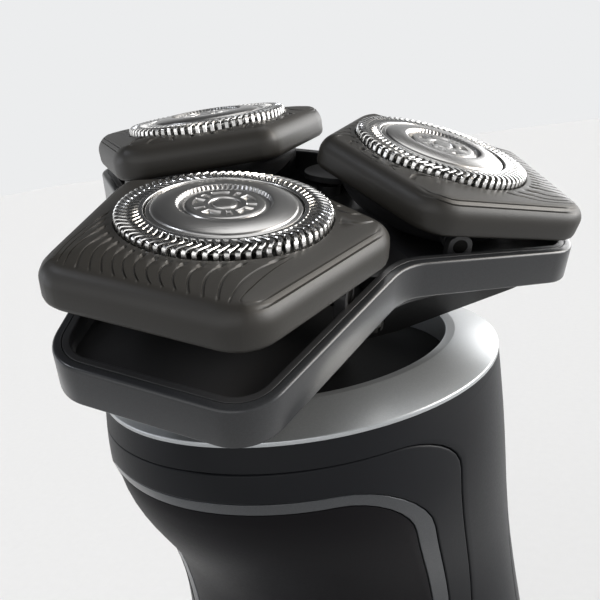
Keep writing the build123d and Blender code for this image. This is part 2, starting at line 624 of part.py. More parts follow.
def make_neck_mount():
    plate_bottom = -NECK_FLOOR_DROP - NECK_PLATE_THICKNESS
    mount = rod(NECK_PLATE_RADIUS, plate_bottom, -NECK_FLOOR_DROP)
    mount = mount + rod(POST_OUTER, -NECK_FLOOR_DROP, POST_TOP)
    mount = mount - rod(POST_BORE, plate_bottom, POST_TOP) - make_neck_gasket()
    return mount - Rot(0, 90, 0) * Cylinder(GIMBAL_PIN_RADIUS + RUN_GAP, 3 * POST_OUTER)


def make_neck_gasket():
    """Gasket that fills the groove round the neck plate's edge."""
    middle = -NECK_FLOOR_DROP - NECK_PLATE_THICKNESS / 2
    inner = NECK_PLATE_RADIUS - GASKET_SIZE
    return tube(NECK_PLATE_RADIUS, inner, middle - GASKET_SIZE / 2, middle + GASKET_SIZE / 2)


def make_collar_ring():
    seat = -COLLAR_EDGE_DROP - COLLAR_EDGE_HEIGHT
    return turned([
        (COLLAR_RIM_RADIUS, -COLLAR_RIM_DROP),
        (COLLAR_RIM_RADIUS + COLLAR_WALL, -COLLAR_RIM_DROP),
        (COLLAR_EDGE_RADIUS, -COLLAR_EDGE_DROP),
        (COLLAR_EDGE_RADIUS, seat),
        (COLLAR_RIM_RADIUS + COLLAR_WALL, seat),
        (COLLAR_RIM_RADIUS + COLLAR_WALL, -NECK_FLOOR_DROP),
        (COLLAR_RIM_RADIUS, -NECK_FLOOR_DROP),
    ])


def make_shaft_seal():
    return tube(POST_BORE, SHAFT_RADIUS + RUN_GAP, -SEAL_DROP - SEAL_HEIGHT, -SEAL_DROP)


# Handle case

def handle_body(inset):
    """The handle's outer form, drawn in by the inset all round."""
    stations = list(reversed(LOWER_STATIONS))
    stations += [(COLLAR_SEAT - drop, *sizes) for drop, *sizes in reversed(UPPER_STATIONS)]
    stations.append((COLLAR_SEAT, COLLAR_EDGE_RADIUS, COLLAR_EDGE_RADIUS, 0.0))
    return loft([Pos(0, back, height) * Ellipse(half_width - inset, half_depth - inset)
                 for height, half_width, half_depth, back in stations])


def window(top, foot, top_half, foot_half, corner, grow=0.0):
    """Round-cornered window in the XZ plane, grown by a margin."""
    points = [(-top_half - grow, top + grow), (top_half + grow, top + grow),
              (foot_half + grow, foot - grow), (-foot_half - grow, foot - grow)]
    face = make_face(Polyline(*points, close=True))
    return fillet(face.vertices(), corner + grow)


def to_front(face):
    """Prism from the XZ plane towards the front."""
    return extrude(Plane.XZ * face, BIG)


def to_back(face):
    """Prism from the XZ plane towards the back."""
    return extrude(Plane.XZ * face, -BIG)


def fascia_window(grow=0.0):
    top = COLLAR_SEAT - FASCIA_DROP
    return to_front(window(top, FASCIA_FOOT, FASCIA_TOP_HALF, FASCIA_FOOT_HALF, FASCIA_CORNER, grow))


def lens_prism():
    return to_front(Pos(0, BUTTON_HEIGHT - LENS_BELOW_BUTTON) * SlotOverall(*LENS_SIZE))


def front_surface(body, height):
    """Where the middle of a body's front lies at a height."""
    strip = body & Pos(0, 0, height) * Box(FIT_GAP, BIG, FIT_GAP)
    return strip.bounding_box().min.Y


def along_y(radius, start, end, height):
    """Round bar along Y at a height."""
    return Pos(0, start, height) * Rot(-90, 0, 0) * rod(radius, 0, end - start)


def make_case(pieces):
    """Shells, fascia and base, all cut from one handle form."""
    outer = handle_body(0)
    cavity = handle_body(WALL)
    shell = outer - cavity
    frame = to_front(window(PARTING_HEIGHT, FRAME_FOOT, FRAME_TOP_HALF, FRAME_FOOT_HALF, FRAME_CORNER))
    behind = Pos(0, SPLIT_Y, BASE_HEIGHT)
    behind = behind * Box(BIG, BIG, PARTING_HEIGHT - BASE_HEIGHT, align=(Align.CENTER, Align.MIN, Align.MIN))
    rear = shell & behind
    pieces["neck_housing"] = (shell & slab(BASE_HEIGHT, GIMBAL_HEIGHT)) - behind - frame
    pieces["front_shell"] = (shell & frame) - fascia_window(TRIM_WIDTH)
    grip_top = COLLAR_SEAT - GRIP_DROP
    grip_area = to_back(window(grip_top, GRIP_FOOT, GRIP_HALF_WIDTH, GRIP_HALF_WIDTH, GRIP_CORNER))
    pieces["rear_grip"] = (outer - handle_body(GRIP_DEPTH)) & grip_area
    pieces["rear_shell"] = rear - pieces["rear_grip"]

    trim_ring = fascia_window(TRIM_WIDTH) - fascia_window()
    pieces["fascia_trim"] = (handle_body(TRIM_RECESS) - cavity) & trim_ring
    recessed = handle_body(FASCIA_RECESS)
    panel = (recessed - cavity) & fascia_window()
    face_y = front_surface(recessed, BUTTON_HEIGHT)
    button_hole = along_y(BUTTON_RADIUS + MOVE_GAP, face_y - WALL, face_y + 2 * WALL, BUTTON_HEIGHT)
    pieces["indicator_lens"] = panel & lens_prism()
    pieces["front_fascia"] = panel - lens_prism() - button_hole
    pieces["power_button"] = make_power_button(face_y)

    base = (outer & slab(0, BASE_HEIGHT)) - (cavity & slab(BASE_FLOOR, BASE_HEIGHT))
    for side in (-1, 1):
        base = base - Pos(side * CONTACT_SPACING / 2, 0, 0) * rod(CONTACT_RADIUS, 0, BASE_FLOOR)
        screw = Pos(side * BASE_SCREW_SPACING / 2, screw_y(), 0)
        base = base - screw * rod(BASE_SCREW_HEAD_RADIUS + FIT_GAP, 0, BASE_SCREW_HEAD_HEIGHT + FIT_GAP)
        base = base - screw * rod(BASE_SCREW_RADIUS + FIT_GAP, 0, BASE_FLOOR)
    pieces["base_cap"] = base


def make_power_button(face_y):
    outer = face_y - BUTTON_PROUD
    back = outer + BUTTON_DEPTH
    button = along_y(BUTTON_RADIUS, outer, back, BUTTON_HEIGHT)
    dish_centre = outer - BUTTON_DISH_RADIUS + BUTTON_PROUD
    dish = Pos(0, dish_centre, BUTTON_HEIGHT) * Sphere(BUTTON_DISH_RADIUS)
    flange_start = back + BUTTON_FLANGE_SETBACK
    stem_end = PLUNGER_TIP_Y - BUTTON_TRAVEL - MOVE_GAP
    button = button - dish
    button = button + along_y(BUTTON_STEM_RADIUS, back, stem_end, BUTTON_HEIGHT)
    flange_end = flange_start + BUTTON_FLANGE
    return button + along_y(BUTTON_RADIUS + BUTTON_FLANGE, flange_start, flange_end, BUTTON_HEIGHT)


def screw_y():
    """The base screws stand in the middle of the chassis foot."""
    return (CHASSIS_FRONT_Y + CHASSIS_BACK_Y) / 2


def make_base_screws():
    head = rod(BASE_SCREW_HEAD_RADIUS, FIT_GAP, BASE_SCREW_HEAD_HEIGHT + FIT_GAP)
    drive = Box(2 * BASE_SCREW_HEAD_RADIUS, BASE_SCREW_SLOT, BASE_SCREW_HEAD_HEIGHT)
    shank = rod(BASE_SCREW_RADIUS, BASE_SCREW_HEAD_HEIGHT + FIT_GAP, BASE_FLOOR + BASE_SCREW_LENGTH)
    screw = head - Pos(0, 0, FIT_GAP) * drive + shank
    return Compound([Pos(side * BASE_SCREW_SPACING / 2, screw_y(), 0) * screw for side in (-1, 1)])


def make_charge_contacts():
    contact = rod(CONTACT_RADIUS, CONTACT_RECESS, CONTACT_RECESS + CONTACT_LENGTH)
    return Compound([Pos(side * CONTACT_SPACING / 2, 0, 0) * contact for side in (-1, 1)])


# Inside the handle

def make_chassis():
    """Spine between battery and board, a foot for the base screws and a cradle under the motor."""
    height = CRADLE_FOOT - BASE_FLOOR
    spine = Pos(0, screw_y(), BASE_FLOOR) * Box(CHASSIS_WIDTH, CHASSIS_THICKNESS, height, align=FROM_BOTTOM)
    foot = Pos(0, screw_y(), BASE_FLOOR) * Box(*CHASSIS_FOOT, align=FROM_BOTTOM)
    chassis = spine + foot + rod(MOTOR_RADIUS, CRADLE_FOOT, MOTOR_FOOT)
    chassis = chassis - rod(SHAFT_RADIUS + MOVE_GAP, CRADLE_FOOT - SHAFT_TAIL, MOTOR_FOOT)
    for side in (-1, 1):
        for height in (BOARD_FOOT + BOARD_EDGE, BOARD_FOOT + BOARD_SIZE[2] - BOARD_EDGE):
            place = Pos(side * (BOARD_SIZE[0] / 2 - BOARD_EDGE), 0, 0)
            chassis = chassis + place * along_y(STANDOFF_RADIUS, BOARD_BACK_Y, CHASSIS_FRONT_Y, height)
        screw = Pos(side * BASE_SCREW_SPACING / 2, screw_y(), 0)
        chassis = chassis - screw * rod(BASE_SCREW_RADIUS, BASE_FLOOR, BASE_FLOOR + BASE_SCREW_LENGTH)
        contact = Pos(side * CONTACT_SPACING / 2, 0, 0)
        chassis = chassis - contact * rod(CONTACT_RADIUS, BASE_FLOOR, CONTACT_RECESS + CONTACT_LENGTH)
    return chassis


def make_motor_can():
    can = rod(MOTOR_RADIUS, MOTOR_FOOT, MOTOR_TOP)
    can = can - rod(MOTOR_RADIUS - MOTOR_WALL, MOTOR_FOOT + MOTOR_WALL, MOTOR_TOP - MOTOR_WALL)
    return can - rod(SHAFT_RADIUS + RUN_GAP, MOTOR_FOOT, MOTOR_TOP)


def make_motor_rotor():
    """Rotor pressed on the shaft, with air to the can all round."""
    margin = MOTOR_WALL + MOTOR_AIR
    return tube(MOTOR_RADIUS - margin, SHAFT_RADIUS, MOTOR_FOOT + margin, MOTOR_TOP - margin)


def make_drive_shaft():
    shaft = rod(SHAFT_RADIUS, MOTOR_FOOT - SHAFT_TAIL, GIMBAL_HEIGHT)
    return shaft + Pos(0, 0, GIMBAL_HEIGHT) * hex_tip(SHAFT_HEX)


def make_battery_cell():
    top = BATTERY_FOOT + BATTERY_LENGTH
    radius, height = BATTERY_TERMINAL
    cell = rod(BATTERY_RADIUS, BATTERY_FOOT, top - height) + rod(radius, top - height, top)
    return Pos(0, CHASSIS_BACK_Y + BATTERY_RADIUS, 0) * cell


def make_circuit_board():
    middle = (BOARD_BACK_Y + BOARD_FRONT_Y) / 2
    return Pos(0, middle, BOARD_FOOT) * Box(*BOARD_SIZE, align=FROM_BOTTOM)


def make_tact_switch():
    body = Pos(0, BOARD_FRONT_Y - SWITCH_BODY / 2, BUTTON_HEIGHT) * Box(SWITCH_SIZE, SWITCH_BODY, SWITCH_SIZE)
    return body + along_y(SWITCH_PLUNGER_RADIUS, PLUNGER_TIP_Y, BOARD_FRONT_Y - SWITCH_BODY, BUTTON_HEIGHT)


# The whole shaver

def make_pieces():
    pieces = {}
    make_case(pieces)
    pieces["charge_contacts"] = make_charge_contacts()
    pieces["base_screws"] = make_base_screws()
    pieces["chassis"] = make_chassis()
    pieces["motor_can"] = make_motor_can()
    pieces["motor_rotor"] = make_motor_rotor()
    pieces["drive_shaft"] = make_drive_shaft()
    pieces["battery_cell"] = make_battery_cell()
    pieces["circuit_board"] = make_circuit_board()
    pieces["tact_switch"] = make_tact_switch()

    neck_place = Pos(0, 0, GIMBAL_HEIGHT)
    pieces["neck_mount"] = neck_place * make_neck_mount()
    pieces["neck_gasket"] = neck_place * make_neck_gasket()
    pieces["collar_ring"] = neck_place * make_collar_ring()
    pieces["shaft_seal"] = neck_place * make_shaft_seal()
    pieces["gimbal_ring"] = GIMBAL_PLACE * make_gimbal_ring()
    pieces["pitch_pins"] = GIMBAL_PLACE * make_pitch_pins()

    pieces["roll_pins"] = UNIT_PLACE * make_roll_pins()
    pieces["carrier_band"] = UNIT_PLACE * make_carrier_band()
    pieces["carrier_tray"] = UNIT_PLACE * make_carrier_tray()
    pieces["unit_base"] = UNIT_PLACE * make_unit_base()
    pieces["unit_screws"] = UNIT_PLACE * make_unit_screws()
    pieces["drive_pinion"] = UNIT_PLACE * make_drive_pinion()

    head_makers = {
        "skin_plate": make_skin_plate,
        "shaving_cap": make_shaving_cap,
        "cap_disc": make_cap_disc,
        "cutter": make_cutter,
        "retainer": make_retainer,
        "head_base": make_head_base,
        "pivot_pins": make_pivot_pins,
    }
    for piece, maker in head_makers.items():
        shape = maker()
        for name in HEADS:
            pieces[f"{piece}_{name}"] = head_place(name) * shape
    for name, (angle, _) in HEADS.items():
        pieces[f"driven_gear_{name}"] = UNIT_PLACE * make_driven_gear(angle)
        pieces[f"drive_spindle_{name}"] = UNIT_PLACE * make_drive_spindle(angle)
    return pieces


os.makedirs("parts", exist_ok=True)
for node, shape in make_pieces().items():
    export_step(shape, f"parts/{node}.step")
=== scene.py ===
import json
from cmath import phase, rect
from math import acos, asin, atan2, cos, exp, hypot, log, pi, radians, sin, sqrt, tan

import bmesh
import bpy
import numpy
from mathutils import Matrix, Vector


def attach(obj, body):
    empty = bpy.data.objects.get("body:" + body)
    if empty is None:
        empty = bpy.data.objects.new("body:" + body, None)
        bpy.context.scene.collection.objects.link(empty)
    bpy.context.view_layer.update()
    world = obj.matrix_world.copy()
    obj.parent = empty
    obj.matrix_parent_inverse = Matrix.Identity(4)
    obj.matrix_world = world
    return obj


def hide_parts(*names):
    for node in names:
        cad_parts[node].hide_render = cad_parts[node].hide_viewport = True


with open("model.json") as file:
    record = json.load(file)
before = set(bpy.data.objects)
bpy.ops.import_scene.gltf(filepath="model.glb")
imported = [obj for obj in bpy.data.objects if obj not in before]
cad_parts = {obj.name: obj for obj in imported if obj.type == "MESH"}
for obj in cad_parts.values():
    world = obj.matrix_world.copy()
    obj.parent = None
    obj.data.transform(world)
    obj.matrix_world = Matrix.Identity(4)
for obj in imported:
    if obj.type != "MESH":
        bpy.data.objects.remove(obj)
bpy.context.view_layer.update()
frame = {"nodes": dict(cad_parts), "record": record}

# Looks of a cordless rotary shaver with three tilting heads. Sizes are millimetres, as in the part's
# source, and become metres when a piece is made.

MM = 0.001

# Places of the moving groups
GIMBAL_HEIGHT = 128.0
UNIT_LEAN_FRONT = 12.7
UNIT_LEAN_RIGHT = 14.5
HEADS = {"front": (-90.0, -3.0), "right": (30.0, 13.5), "left": (150.0, 13.5)}
HEAD_OFFSET = 17.0
PIVOT_HEIGHT = 12.0

# Fits
FIT_GAP = 0.1
RUN_GAP = 0.05
MOVE_GAP = 0.3
SEAM = 0.04  # half the fine gap that shows between fixed pieces
TUCK = 0.005  # how deep one form of a piece lies under its neighbour

# Shaving unit, heights from the gimbal centre
LOBE_REACH = 33.5
SIDE_DISTANCE = 19.0
SIDE_TAPER = 15.0
LOBE_CORNER = 5.0
NOTCH_ROUND = 9.0
RIM_SLOPE = 8.0
RIM_DROP = 0.55
RIM_BLEND = 0.25
BAND_WALL = 0.9
BAND_DEPTH = 4.3
BAND_ROUND = 0.35
BAND_LOWER_ROUND = 0.3
TRAY_WALL = 0.8
TRAY_ROUND = 0.22
TRAY_COVE = 0.8
TRAY_COVE_MIDDLE = 0.24  # how far the cove's middle lies from the wall and the floor
TRAY_FLOOR_TOP = 7.9
TRAY_FLOOR_BOTTOM = 7.0
DECK_RADIUS = 3.7
DECK_DROP = 1.3
DECK_THICKNESS = 0.8
UNIT_SCREW_CIRCLE = 15.0
UNIT_SCREW_RADIUS = 0.9
UNIT_SCREW_HEAD_RADIUS = 1.6
UNIT_SCREW_BOSS = 1.4
PIVOT_PIN_RADIUS = 0.8
PIVOT_PIN_SEAT = 2.1
PIVOT_BOSS_RADIUS = 1.4
PIVOT_POST_INNER = 12.0
PIVOT_POST_THICKNESS = 1.2
EYE_EDGE = 0.06

# Skin plates, heights from the tilt axis
PLATE_BOTTOM = 1.7
PLATE_TOP = 6.3
PLATE_EDGE_INSET = 0.3
PLATE_SPLIT = 1.56
PLATE_CORNER = 4.2
PLATE_INNER_CORNER = 3.0
PLATE_CROWN = 1.6
PLATE_LOWER_ROUND = 0.8
PLATE_HOLE = 10.7
HOLE_LIP = 0.15
PLATE_FALL = 1.0  # how far the top falls towards its edges
PLATE_FALL_WIDTH = 6.0

# Grooves of the skin plates. A flow pairs angles at the hole with angles at the plate's edge. Beside it
# stand its number of grooves and the pair at which the next flow starts.
OUTER_FLOW = [(-72, -35), (-39, -21), (-13, -3), (14, 13), (38, 24), (84, 33)]
INNER_FLOW = [(95, 106), (117, 118), (161, 158), (180, 178), (203, 209), (231, 228), (256, 239)]
PLATE_FLOWS = [(OUTER_FLOW, 17, (95, 106)), (INNER_FLOW, 13, (288, 325))]
GROOVE_START = 11.25
GROOVE_DEPTH = 0.16
GROOVE_BOW = 0.6
DOT_DEPTH = 0.24  # the groove's deeper, wider end at the cap
# Across a groove, in pitches: depth of the groove and of its dot, as shares
GROOVE_SECTION = [(-0.5, 0, 0), (-0.2, 0, 0), (-0.11, 0, 0.7), (-0.06, 0.9, 1), (0, 1, 1),
                  (0.06, 0.9, 1), (0.11, 0, 0.7), (0.2, 0, 0)]
# Along a groove: share of the way to the crown, depth of the groove and of its dot
GROOVE_ROWS = [(0, 0, 0), (0.03, 0, 1), (0.09, 0.6, 1), (0.16, 1, 0.5), (0.26, 1, 0), (0.38, 1, 0),
               (0.5, 1, 0), (0.62, 1, 0), (0.74, 1, 0), (0.85, 1, 0), (0.94, 0.8, 0)]
# Over the crown: angles from the side, and those at which the groove or the two side grooves have depth
CROWN_ANGLES = (90, 84, 77, 74, 71, 64, 58, 55, 52, 42, 32, 21, 10, 0)
CROWN_GROOVE = {90: 0.4}
CROWN_SIDE_GROOVES = {74: 1, 55: 0.8}
SIDE_COLUMNS = 24
SIDE_GROOVE_FADE = 8.0

# Shaving caps and discs
CAP_RADIUS = 10.6
CAP_TOP = 7.05
CAP_INNER = 7.7
CAP_RING_OUTER = 8.3
CAP_WALL = 0.45
CAP_EDGE = 0.12
CAP_SLOTS = 72
CAP_SLOT_SHARE = 0.48
CAP_SLOT_DROP = 1.3
LAMELLA_EDGE = 0.07
# Along a lamella: radius, lean in degrees, drop below the cap's top, and the angle that it faces
LAMELLA_STATIONS = [(8.15, 0, 0, 90), (8.6, 1.8, 0, 90), (9.0, 3.4, 0, 90), (9.25, 3.5, 0, 90),
                    (9.7, 1.7, 0, 90), (10.15, -0.4, 0.02, 84), (10.42, -1.6, 0.11, 58),
                    (10.57, -2, 0.32, 25), (10.6, -2, 0.6, 0), (10.6, -2, 1.4, 0)]
DISC_DEPTH = 1.5
DISC_SECTORS = 5
DISC_STEPS = 48
TOOTH_COUNT = 60
TOOTH_DEPTH = 0.06
WINDOW_DEPTH = 0.22
# Windows in a disc's dish: middle and half width in degrees, inner and outer radius
DISC_WINDOWS = [(0, 16.6, 2.12, 3.12), (36, 5, 2.12, 3.12), (-36, 5, 2.12, 3.12)]
# A disc's section: radius and height over the cap's top, and at which radii the teeth show
DISC_PROFILE = [(0, 0.2), (0.6, 0.2), (1.08, 0.2), (1.2, 0.16), (1.24, 0.05), (1.55, 0.05), (1.6, 0.16),
                (1.7, 0.19), (2.08, 0.19), (2.14, 0.19), (2.6, 0.19), (3.1, 0.19), (3.16, 0.19),
                (3.55, 0.19), (3.78, 0.17), (3.95, 0.09), (4.0, 0), (4.06, -0.04), (4.4, -0.04), (4.5, 0),
                (4.68, 0.33), (4.74, 0.38), (4.85, 0.4), (5.5, 0.37), (6.2, 0.28), (6.75, 0.16),
                (7.0, 0.08), (7.14, 0), (7.2, -0.1), (7.28, -0.13), (7.48, -0.15), (7.58, -0.18),
                (7.64, -0.26), (7.66, -0.5), (7.66, -1.5), (0, -1.5)]
TOOTH_SHARES = {4.5: 1, 4.68: 1, 4.74: 0.4}
RETAINER_TOP = 3.9
BOWL_RADIUS = 11.4
BOWL_DEPTH = 2.3
BOWL_OUTER_BULGE = 0.55
BOWL_INNER_BULGE = 0.45
BOWL_FLAT_RADIUS = 5.5
BOWL_WALL = 0.8
BOWL_LIP = 1.2
BOWL_SPINDLE_HOLE = 2.6

# Neck, drops from the gimbal centre
COLLAR_RIM_RADIUS = 19.7
COLLAR_RIM_DROP = 6.8
COLLAR_RIM_ROUND = 0.25
COLLAR_EDGE_RADIUS = 26.1
COLLAR_EDGE_DROP = 8.6
COLLAR_EDGE_HEIGHT = 0.5
COLLAR_EDGE_ROUND = 0.2
COLLAR_WALL = 1.2
NECK_FLOOR_DROP = 11.0
COLLAR_SEAT = GIMBAL_HEIGHT - COLLAR_EDGE_DROP - COLLAR_EDGE_HEIGHT
PARTING_HEIGHT = 116.2

# Handle stations: drop below the collar's seat or height above the base, half width, half depth, shift back
UPPER_STATIONS = [(8.5, 26.3, 26.4, -0.6), (26.5, 25.7, 20.6, 2.6), (52.5, 27.0, 20.2, 3.8)]
LOWER_STATIONS = [(36.0, 24.4, 19.4, 3.0), (10.0, 20.2, 17.0, 0.8), (0.0, 17.5, 14.5, 0.0)]
WALL = 2.0
SPLIT_Y = 3.0
BASE_HEIGHT = 7.0
SHELL_CORNER = 0.5
SHELL_LIP = 0.2
# Windows in the handle's skin: top, foot, half width at the top and at the foot, corner
FRAME_WINDOW = (PARTING_HEIGHT, 19.0, 24.0, 18.0, 5.0)
FASCIA_WINDOW = (COLLAR_SEAT - 7.4, 24.0, 20.0, 15.0, 6.0)
GRIP_WINDOW = (COLLAR_SEAT - 26.0, 30.0, 12.0, 12.0, 10.0)
FASCIA_RECESS = 0.5
FASCIA_LIP = 0.15
TRIM_WIDTH = 1.5
TRIM_INSETS = (0.08, 0.42)
TRIM_LIP = 0.12
BUTTON_HEIGHT = 74.0
BUTTON_RADIUS = 6.5
BUTTON_PROUD = 0.5
BUTTON_DEPTH = 2.6
BUTTON_EDGE = 0.35
BUTTON_DISH_EDGE = 5.7
BUTTON_GROOVE = (5.9, 0.12)
BUTTON_FLANGE = 0.9
BUTTON_FLANGE_SETBACK = 0.8
BUTTON_STEM_RADIUS = 2.0
BUTTON_STEM_END_Y = -8.8
LENS_HEIGHT = 60.0
LENS_SIZE = (7.0, 1.8)
LENS_INSET = 0.4
LENS_LIP = 0.25
GRIP_DEPTH = 1.0
GRIP_LIP = 0.3
RIB_PITCH = 2.6
RIB_RADIUS = 0.55
RIB_SINK = 0.35
RIB_MARGIN = 2.0
RIB_SIDES = 10
RIB_STEPS = 14

# Fineness of the meshes, and shapes that they share
LATHE_SEGMENTS = 144
SMALL_SEGMENTS = 32
ARC_STEPS = 4
PLATE_ARC_STEPS = 10
PLATE_SIDE_STEPS = 8
BOWL_ARC_STEPS = 14
UNIT_ARC_STEPS = 10
UNIT_SIDE_STEPS = 10
EYE_STEPS = 16
PANEL_ROWS = 16
PANEL_BACK_ROWS = 6
PANEL_ARC_STEPS = 8
PANEL_SIDE_STEPS = 28
NECK_STEPS = 120
LIP_ANGLES = (0, 30, 60, 90)
SQUARE = [(-1, -1), (1, -1), (1, 1), (-1, 1)]
WELD = 0.001  # points nearer than this become one
SHARP_ANGLE = 38

# Camera, at the photograph's angle
CAMERA_AIM = (2.3, -2.2, 127.1)
CAMERA_DISTANCE = 82.9
CAMERA_AZIMUTH = 26.5
CAMERA_ELEVATION = 15.1
CAMERA_ROLL = -8.3
CAMERA_VIEW_ANGLE = 50.1
CAMERA_NEAR = 5.0  # nothing nearer is drawn

# Stage
FLOOR_HALF = 3.0  # metres
FLOOR_SPECKS = 3.0
PALE_FLOOR = ("#dfe0e1", "#e3e4e5")
PALE_BACKDROP = "#ecedee"
DARK_CEILING = "#3a3b3d"
DIM_BOUNCE = "#5c5d5e"
AMBIENT_COLOUR = "#c9ccd0"
AMBIENT_STRENGTH = 0.25
WALL_TOP = 0.28  # sine of the angle up to which the backdrop is pale
CEILING_START = 0.5
# Lamps: direction towards the lamp, width in degrees, strength and colour
LAMPS = {
    "key_right": ((0.85, 0.45, 0.5), 30, 2.0, "#fff6ea"),
    "low_right": ((0.9, 0.35, 0.12), 40, 3.6, "#ffffff"),
    "rim_back_right": ((0.35, 0.9, 0.15), 40, 1.6, "#ffffff"),
    "top_soft": ((0.2, 0.42, 1.0), 40, 0.8, "#ffffff"),
    "low_left": ((-0.9, -0.3, 0.12), 30, 0.35, "#f2f6ff"),
    "edge_left": ((-0.5, -0.4, 0.75), 10, 0.45, "#f2f6ff"),
    "front_soft": ((0.0, -0.95, 0.3), 60, 1.0, "#ffffff"),
}


def linear(hex_colour):
    """Linear RGBA of an sRGB hex colour."""
    channels = [int(hex_colour[start:start + 2], 16) / 255 for start in (1, 3, 5)]
    return (*[c / 12.92 if c <= 0.04045 else ((c + 0.055) / 1.055) ** 2.4 for c in channels], 1.0)


def add(tree, kind, settings=None, inputs=None):
    """Adds a node. Settings are its properties; inputs are values, or output sockets to link."""
    new = tree.nodes.new(kind)
    for name, value in (settings or {}).items():
        setattr(new, name, value)
    for key, value in (inputs or {}).items():
        if isinstance(value, bpy.types.NodeSocket):
            tree.links.new(value, new.inputs[key])
        else:
            new.inputs[key].default_value = value
    return new


# Sockets of a Mix node that mixes colours
FACTOR, FIRST, SECOND, MIXED = 0, 6, 7, 2


def put(name, data):
    """New object in the scene, at the origin."""
    new = bpy.data.objects.new(name, data)
    bpy.context.scene.collection.objects.link(new)
    return new


# Materials

def per_metre(size):
    """Texture scale whose pattern repeats about every size millimetres."""
    return 1 / (size * MM)


def start_material(name, *patterns):
    """Empty material, the piece's own coordinates in metres, and a noise texture for each pattern, which
    is a size in millimetres and a level of detail."""
    material = bpy.data.materials.new(name)
    material.use_nodes = True
    tree = material.node_tree
    tree.nodes.clear()
    place = add(tree, "ShaderNodeTexCoord").outputs["Object"]
    textures = []
    for size, detail in patterns:
        noise = add(tree, "ShaderNodeTexNoise", inputs={
            "Vector": place, "Scale": per_metre(size), "Detail": detail})
        textures.append(noise.outputs["Fac"])
    return material, place, *textures


def surface(material, shades, tone, roughness, spread, marks, relief, looks):
    """Finishes a material. Tone is a texture that mixes two close shades, marks is one that takes the
    roughness down and up by a spread, relief is the bump's strength, its depth in millimetres and its
    texture, and looks are the shader's other settings."""
    tree = material.node_tree
    colour = add(tree, "ShaderNodeMix", {"data_type": "RGBA"}, {
        FACTOR: tone, FIRST: linear(shades[0]), SECOND: linear(shades[1])})
    rough = add(tree, "ShaderNodeMapRange", inputs={
        "Value": marks, "To Min": roughness - spread[0], "To Max": roughness + spread[1]})
    shader = add(tree, "ShaderNodeBsdfPrincipled", inputs={
        "Base Color": colour.outputs[MIXED], "Roughness": rough.outputs["Result"], **looks})
    if relief:
        strength, depth, texture = relief
        bump = add(tree, "ShaderNodeBump", inputs={
            "Strength": strength, "Distance": depth * MM, "Height": texture})
        tree.links.new(bump.outputs["Normal"], shader.inputs["Normal"])
    add(tree, "ShaderNodeOutputMaterial", inputs={"Surface": shader.outputs["BSDF"]})
    return material


def moulded_plastic(name, shades, roughness, grain, height, shine=0.2, clouding=14.0):
    """Injection-moulded plastic: spark-eroded grain breaks up the highlights and swallows part of the
    shine, and faint flow clouding shifts the shade. The grain is drawn about twice as coarse, to show."""
    material, _, grains, clouds = start_material(name, (grain, 3.0), (clouding, 2.0))
    return surface(material, shades, clouds, roughness, (0.05, 0.07), grains, (0.5, height, grains), {
        "Specular IOR Level": shine})


def metallic_lacquer(name, shades, roughness, flakes_share=0.5, flake=0.09, clouding=9.0):
    """Sprayed metallic lacquer on plastic: aluminium flakes give a soft bright sheen that falls off
    quickly away from the light, with a fine sparkle. Flakes are drawn three times their real size."""
    material, place, clouds = start_material(name, (clouding, 2.0))
    tree = material.node_tree
    flakes = add(tree, "ShaderNodeTexVoronoi", inputs={"Vector": place, "Scale": per_metre(flake)}).outputs
    sparkle = add(tree, "ShaderNodeSeparateColor", inputs={"Color": flakes["Color"]}).outputs["Red"]
    relief = (0.06, 0.01, flakes["Distance"])
    return surface(material, shades, sparkle, roughness, (0.03, 0.03), clouds, relief, {
        "Metallic": flakes_share, "Specular IOR Level": 0.15, "Coat Weight": 0.5, "Coat Roughness": 0.22})


def worked_metal(name, shades, roughness, grit, height, staining=5.0):
    """Bare metal, tumbled or turned: bright, with fine tool marks that blur what it reflects."""
    material, _, marks, stains = start_material(name, (grit, 4.0), (staining, 3.0))
    relief = (0.3, height, marks)
    return surface(material, shades, stains, roughness, (0.05, 0.08), marks, relief, {"Metallic": 1.0})


def spun_steel(name, shades, roughness, ring, staining=6.0):
    """Stainless steel finished on a lathe: rings of fine scratches draw the highlights out across
    them. The rings follow each piece's own distance from its axis, stored as spin_radius."""
    material, _, stains = start_material(name, (staining, 3.0))
    tree = material.node_tree
    radius = add(tree, "ShaderNodeAttribute", {"attribute_name": "spin_radius"}).outputs["Fac"]
    rings = add(tree, "ShaderNodeTexNoise", {"noise_dimensions": "1D"}, {
        "W": radius, "Scale": 1 / ring, "Detail": 3.0}).outputs["Fac"]
    relief = (0.25, 0.01, rings)
    return surface(material, shades, stains, roughness, (0.06, 0.08), rings, relief, {"Metallic": 1.0})


def moulded_rubber(name, shades, roughness, grain):
    """Moulded elastomer: nearly matt, with a dusty sheen at grazing angles."""
    material, _, grains = start_material(name, (grain, 3.0))
    return surface(material, shades, grains, roughness, (0.06, 0.06), grains, (0.5, 0.03, grains), {
        "Specular IOR Level": 0.2, "Sheen Weight": 0.05, "Sheen Roughness": 0.5})


def clear_lens(name, shades, roughness, swirl):
    """Polished polycarbonate over a light guide: milky, glossy, with faint moulding swirls."""
    material, _, swirls = start_material(name, (swirl, 2.0))
    swirls.node.inputs["Distortion"].default_value = 1.0
    return surface(material, shades, swirls, roughness, (0.04, 0.04), swirls, None, {
        "IOR": 1.585, "Transmission Weight": 0.35})


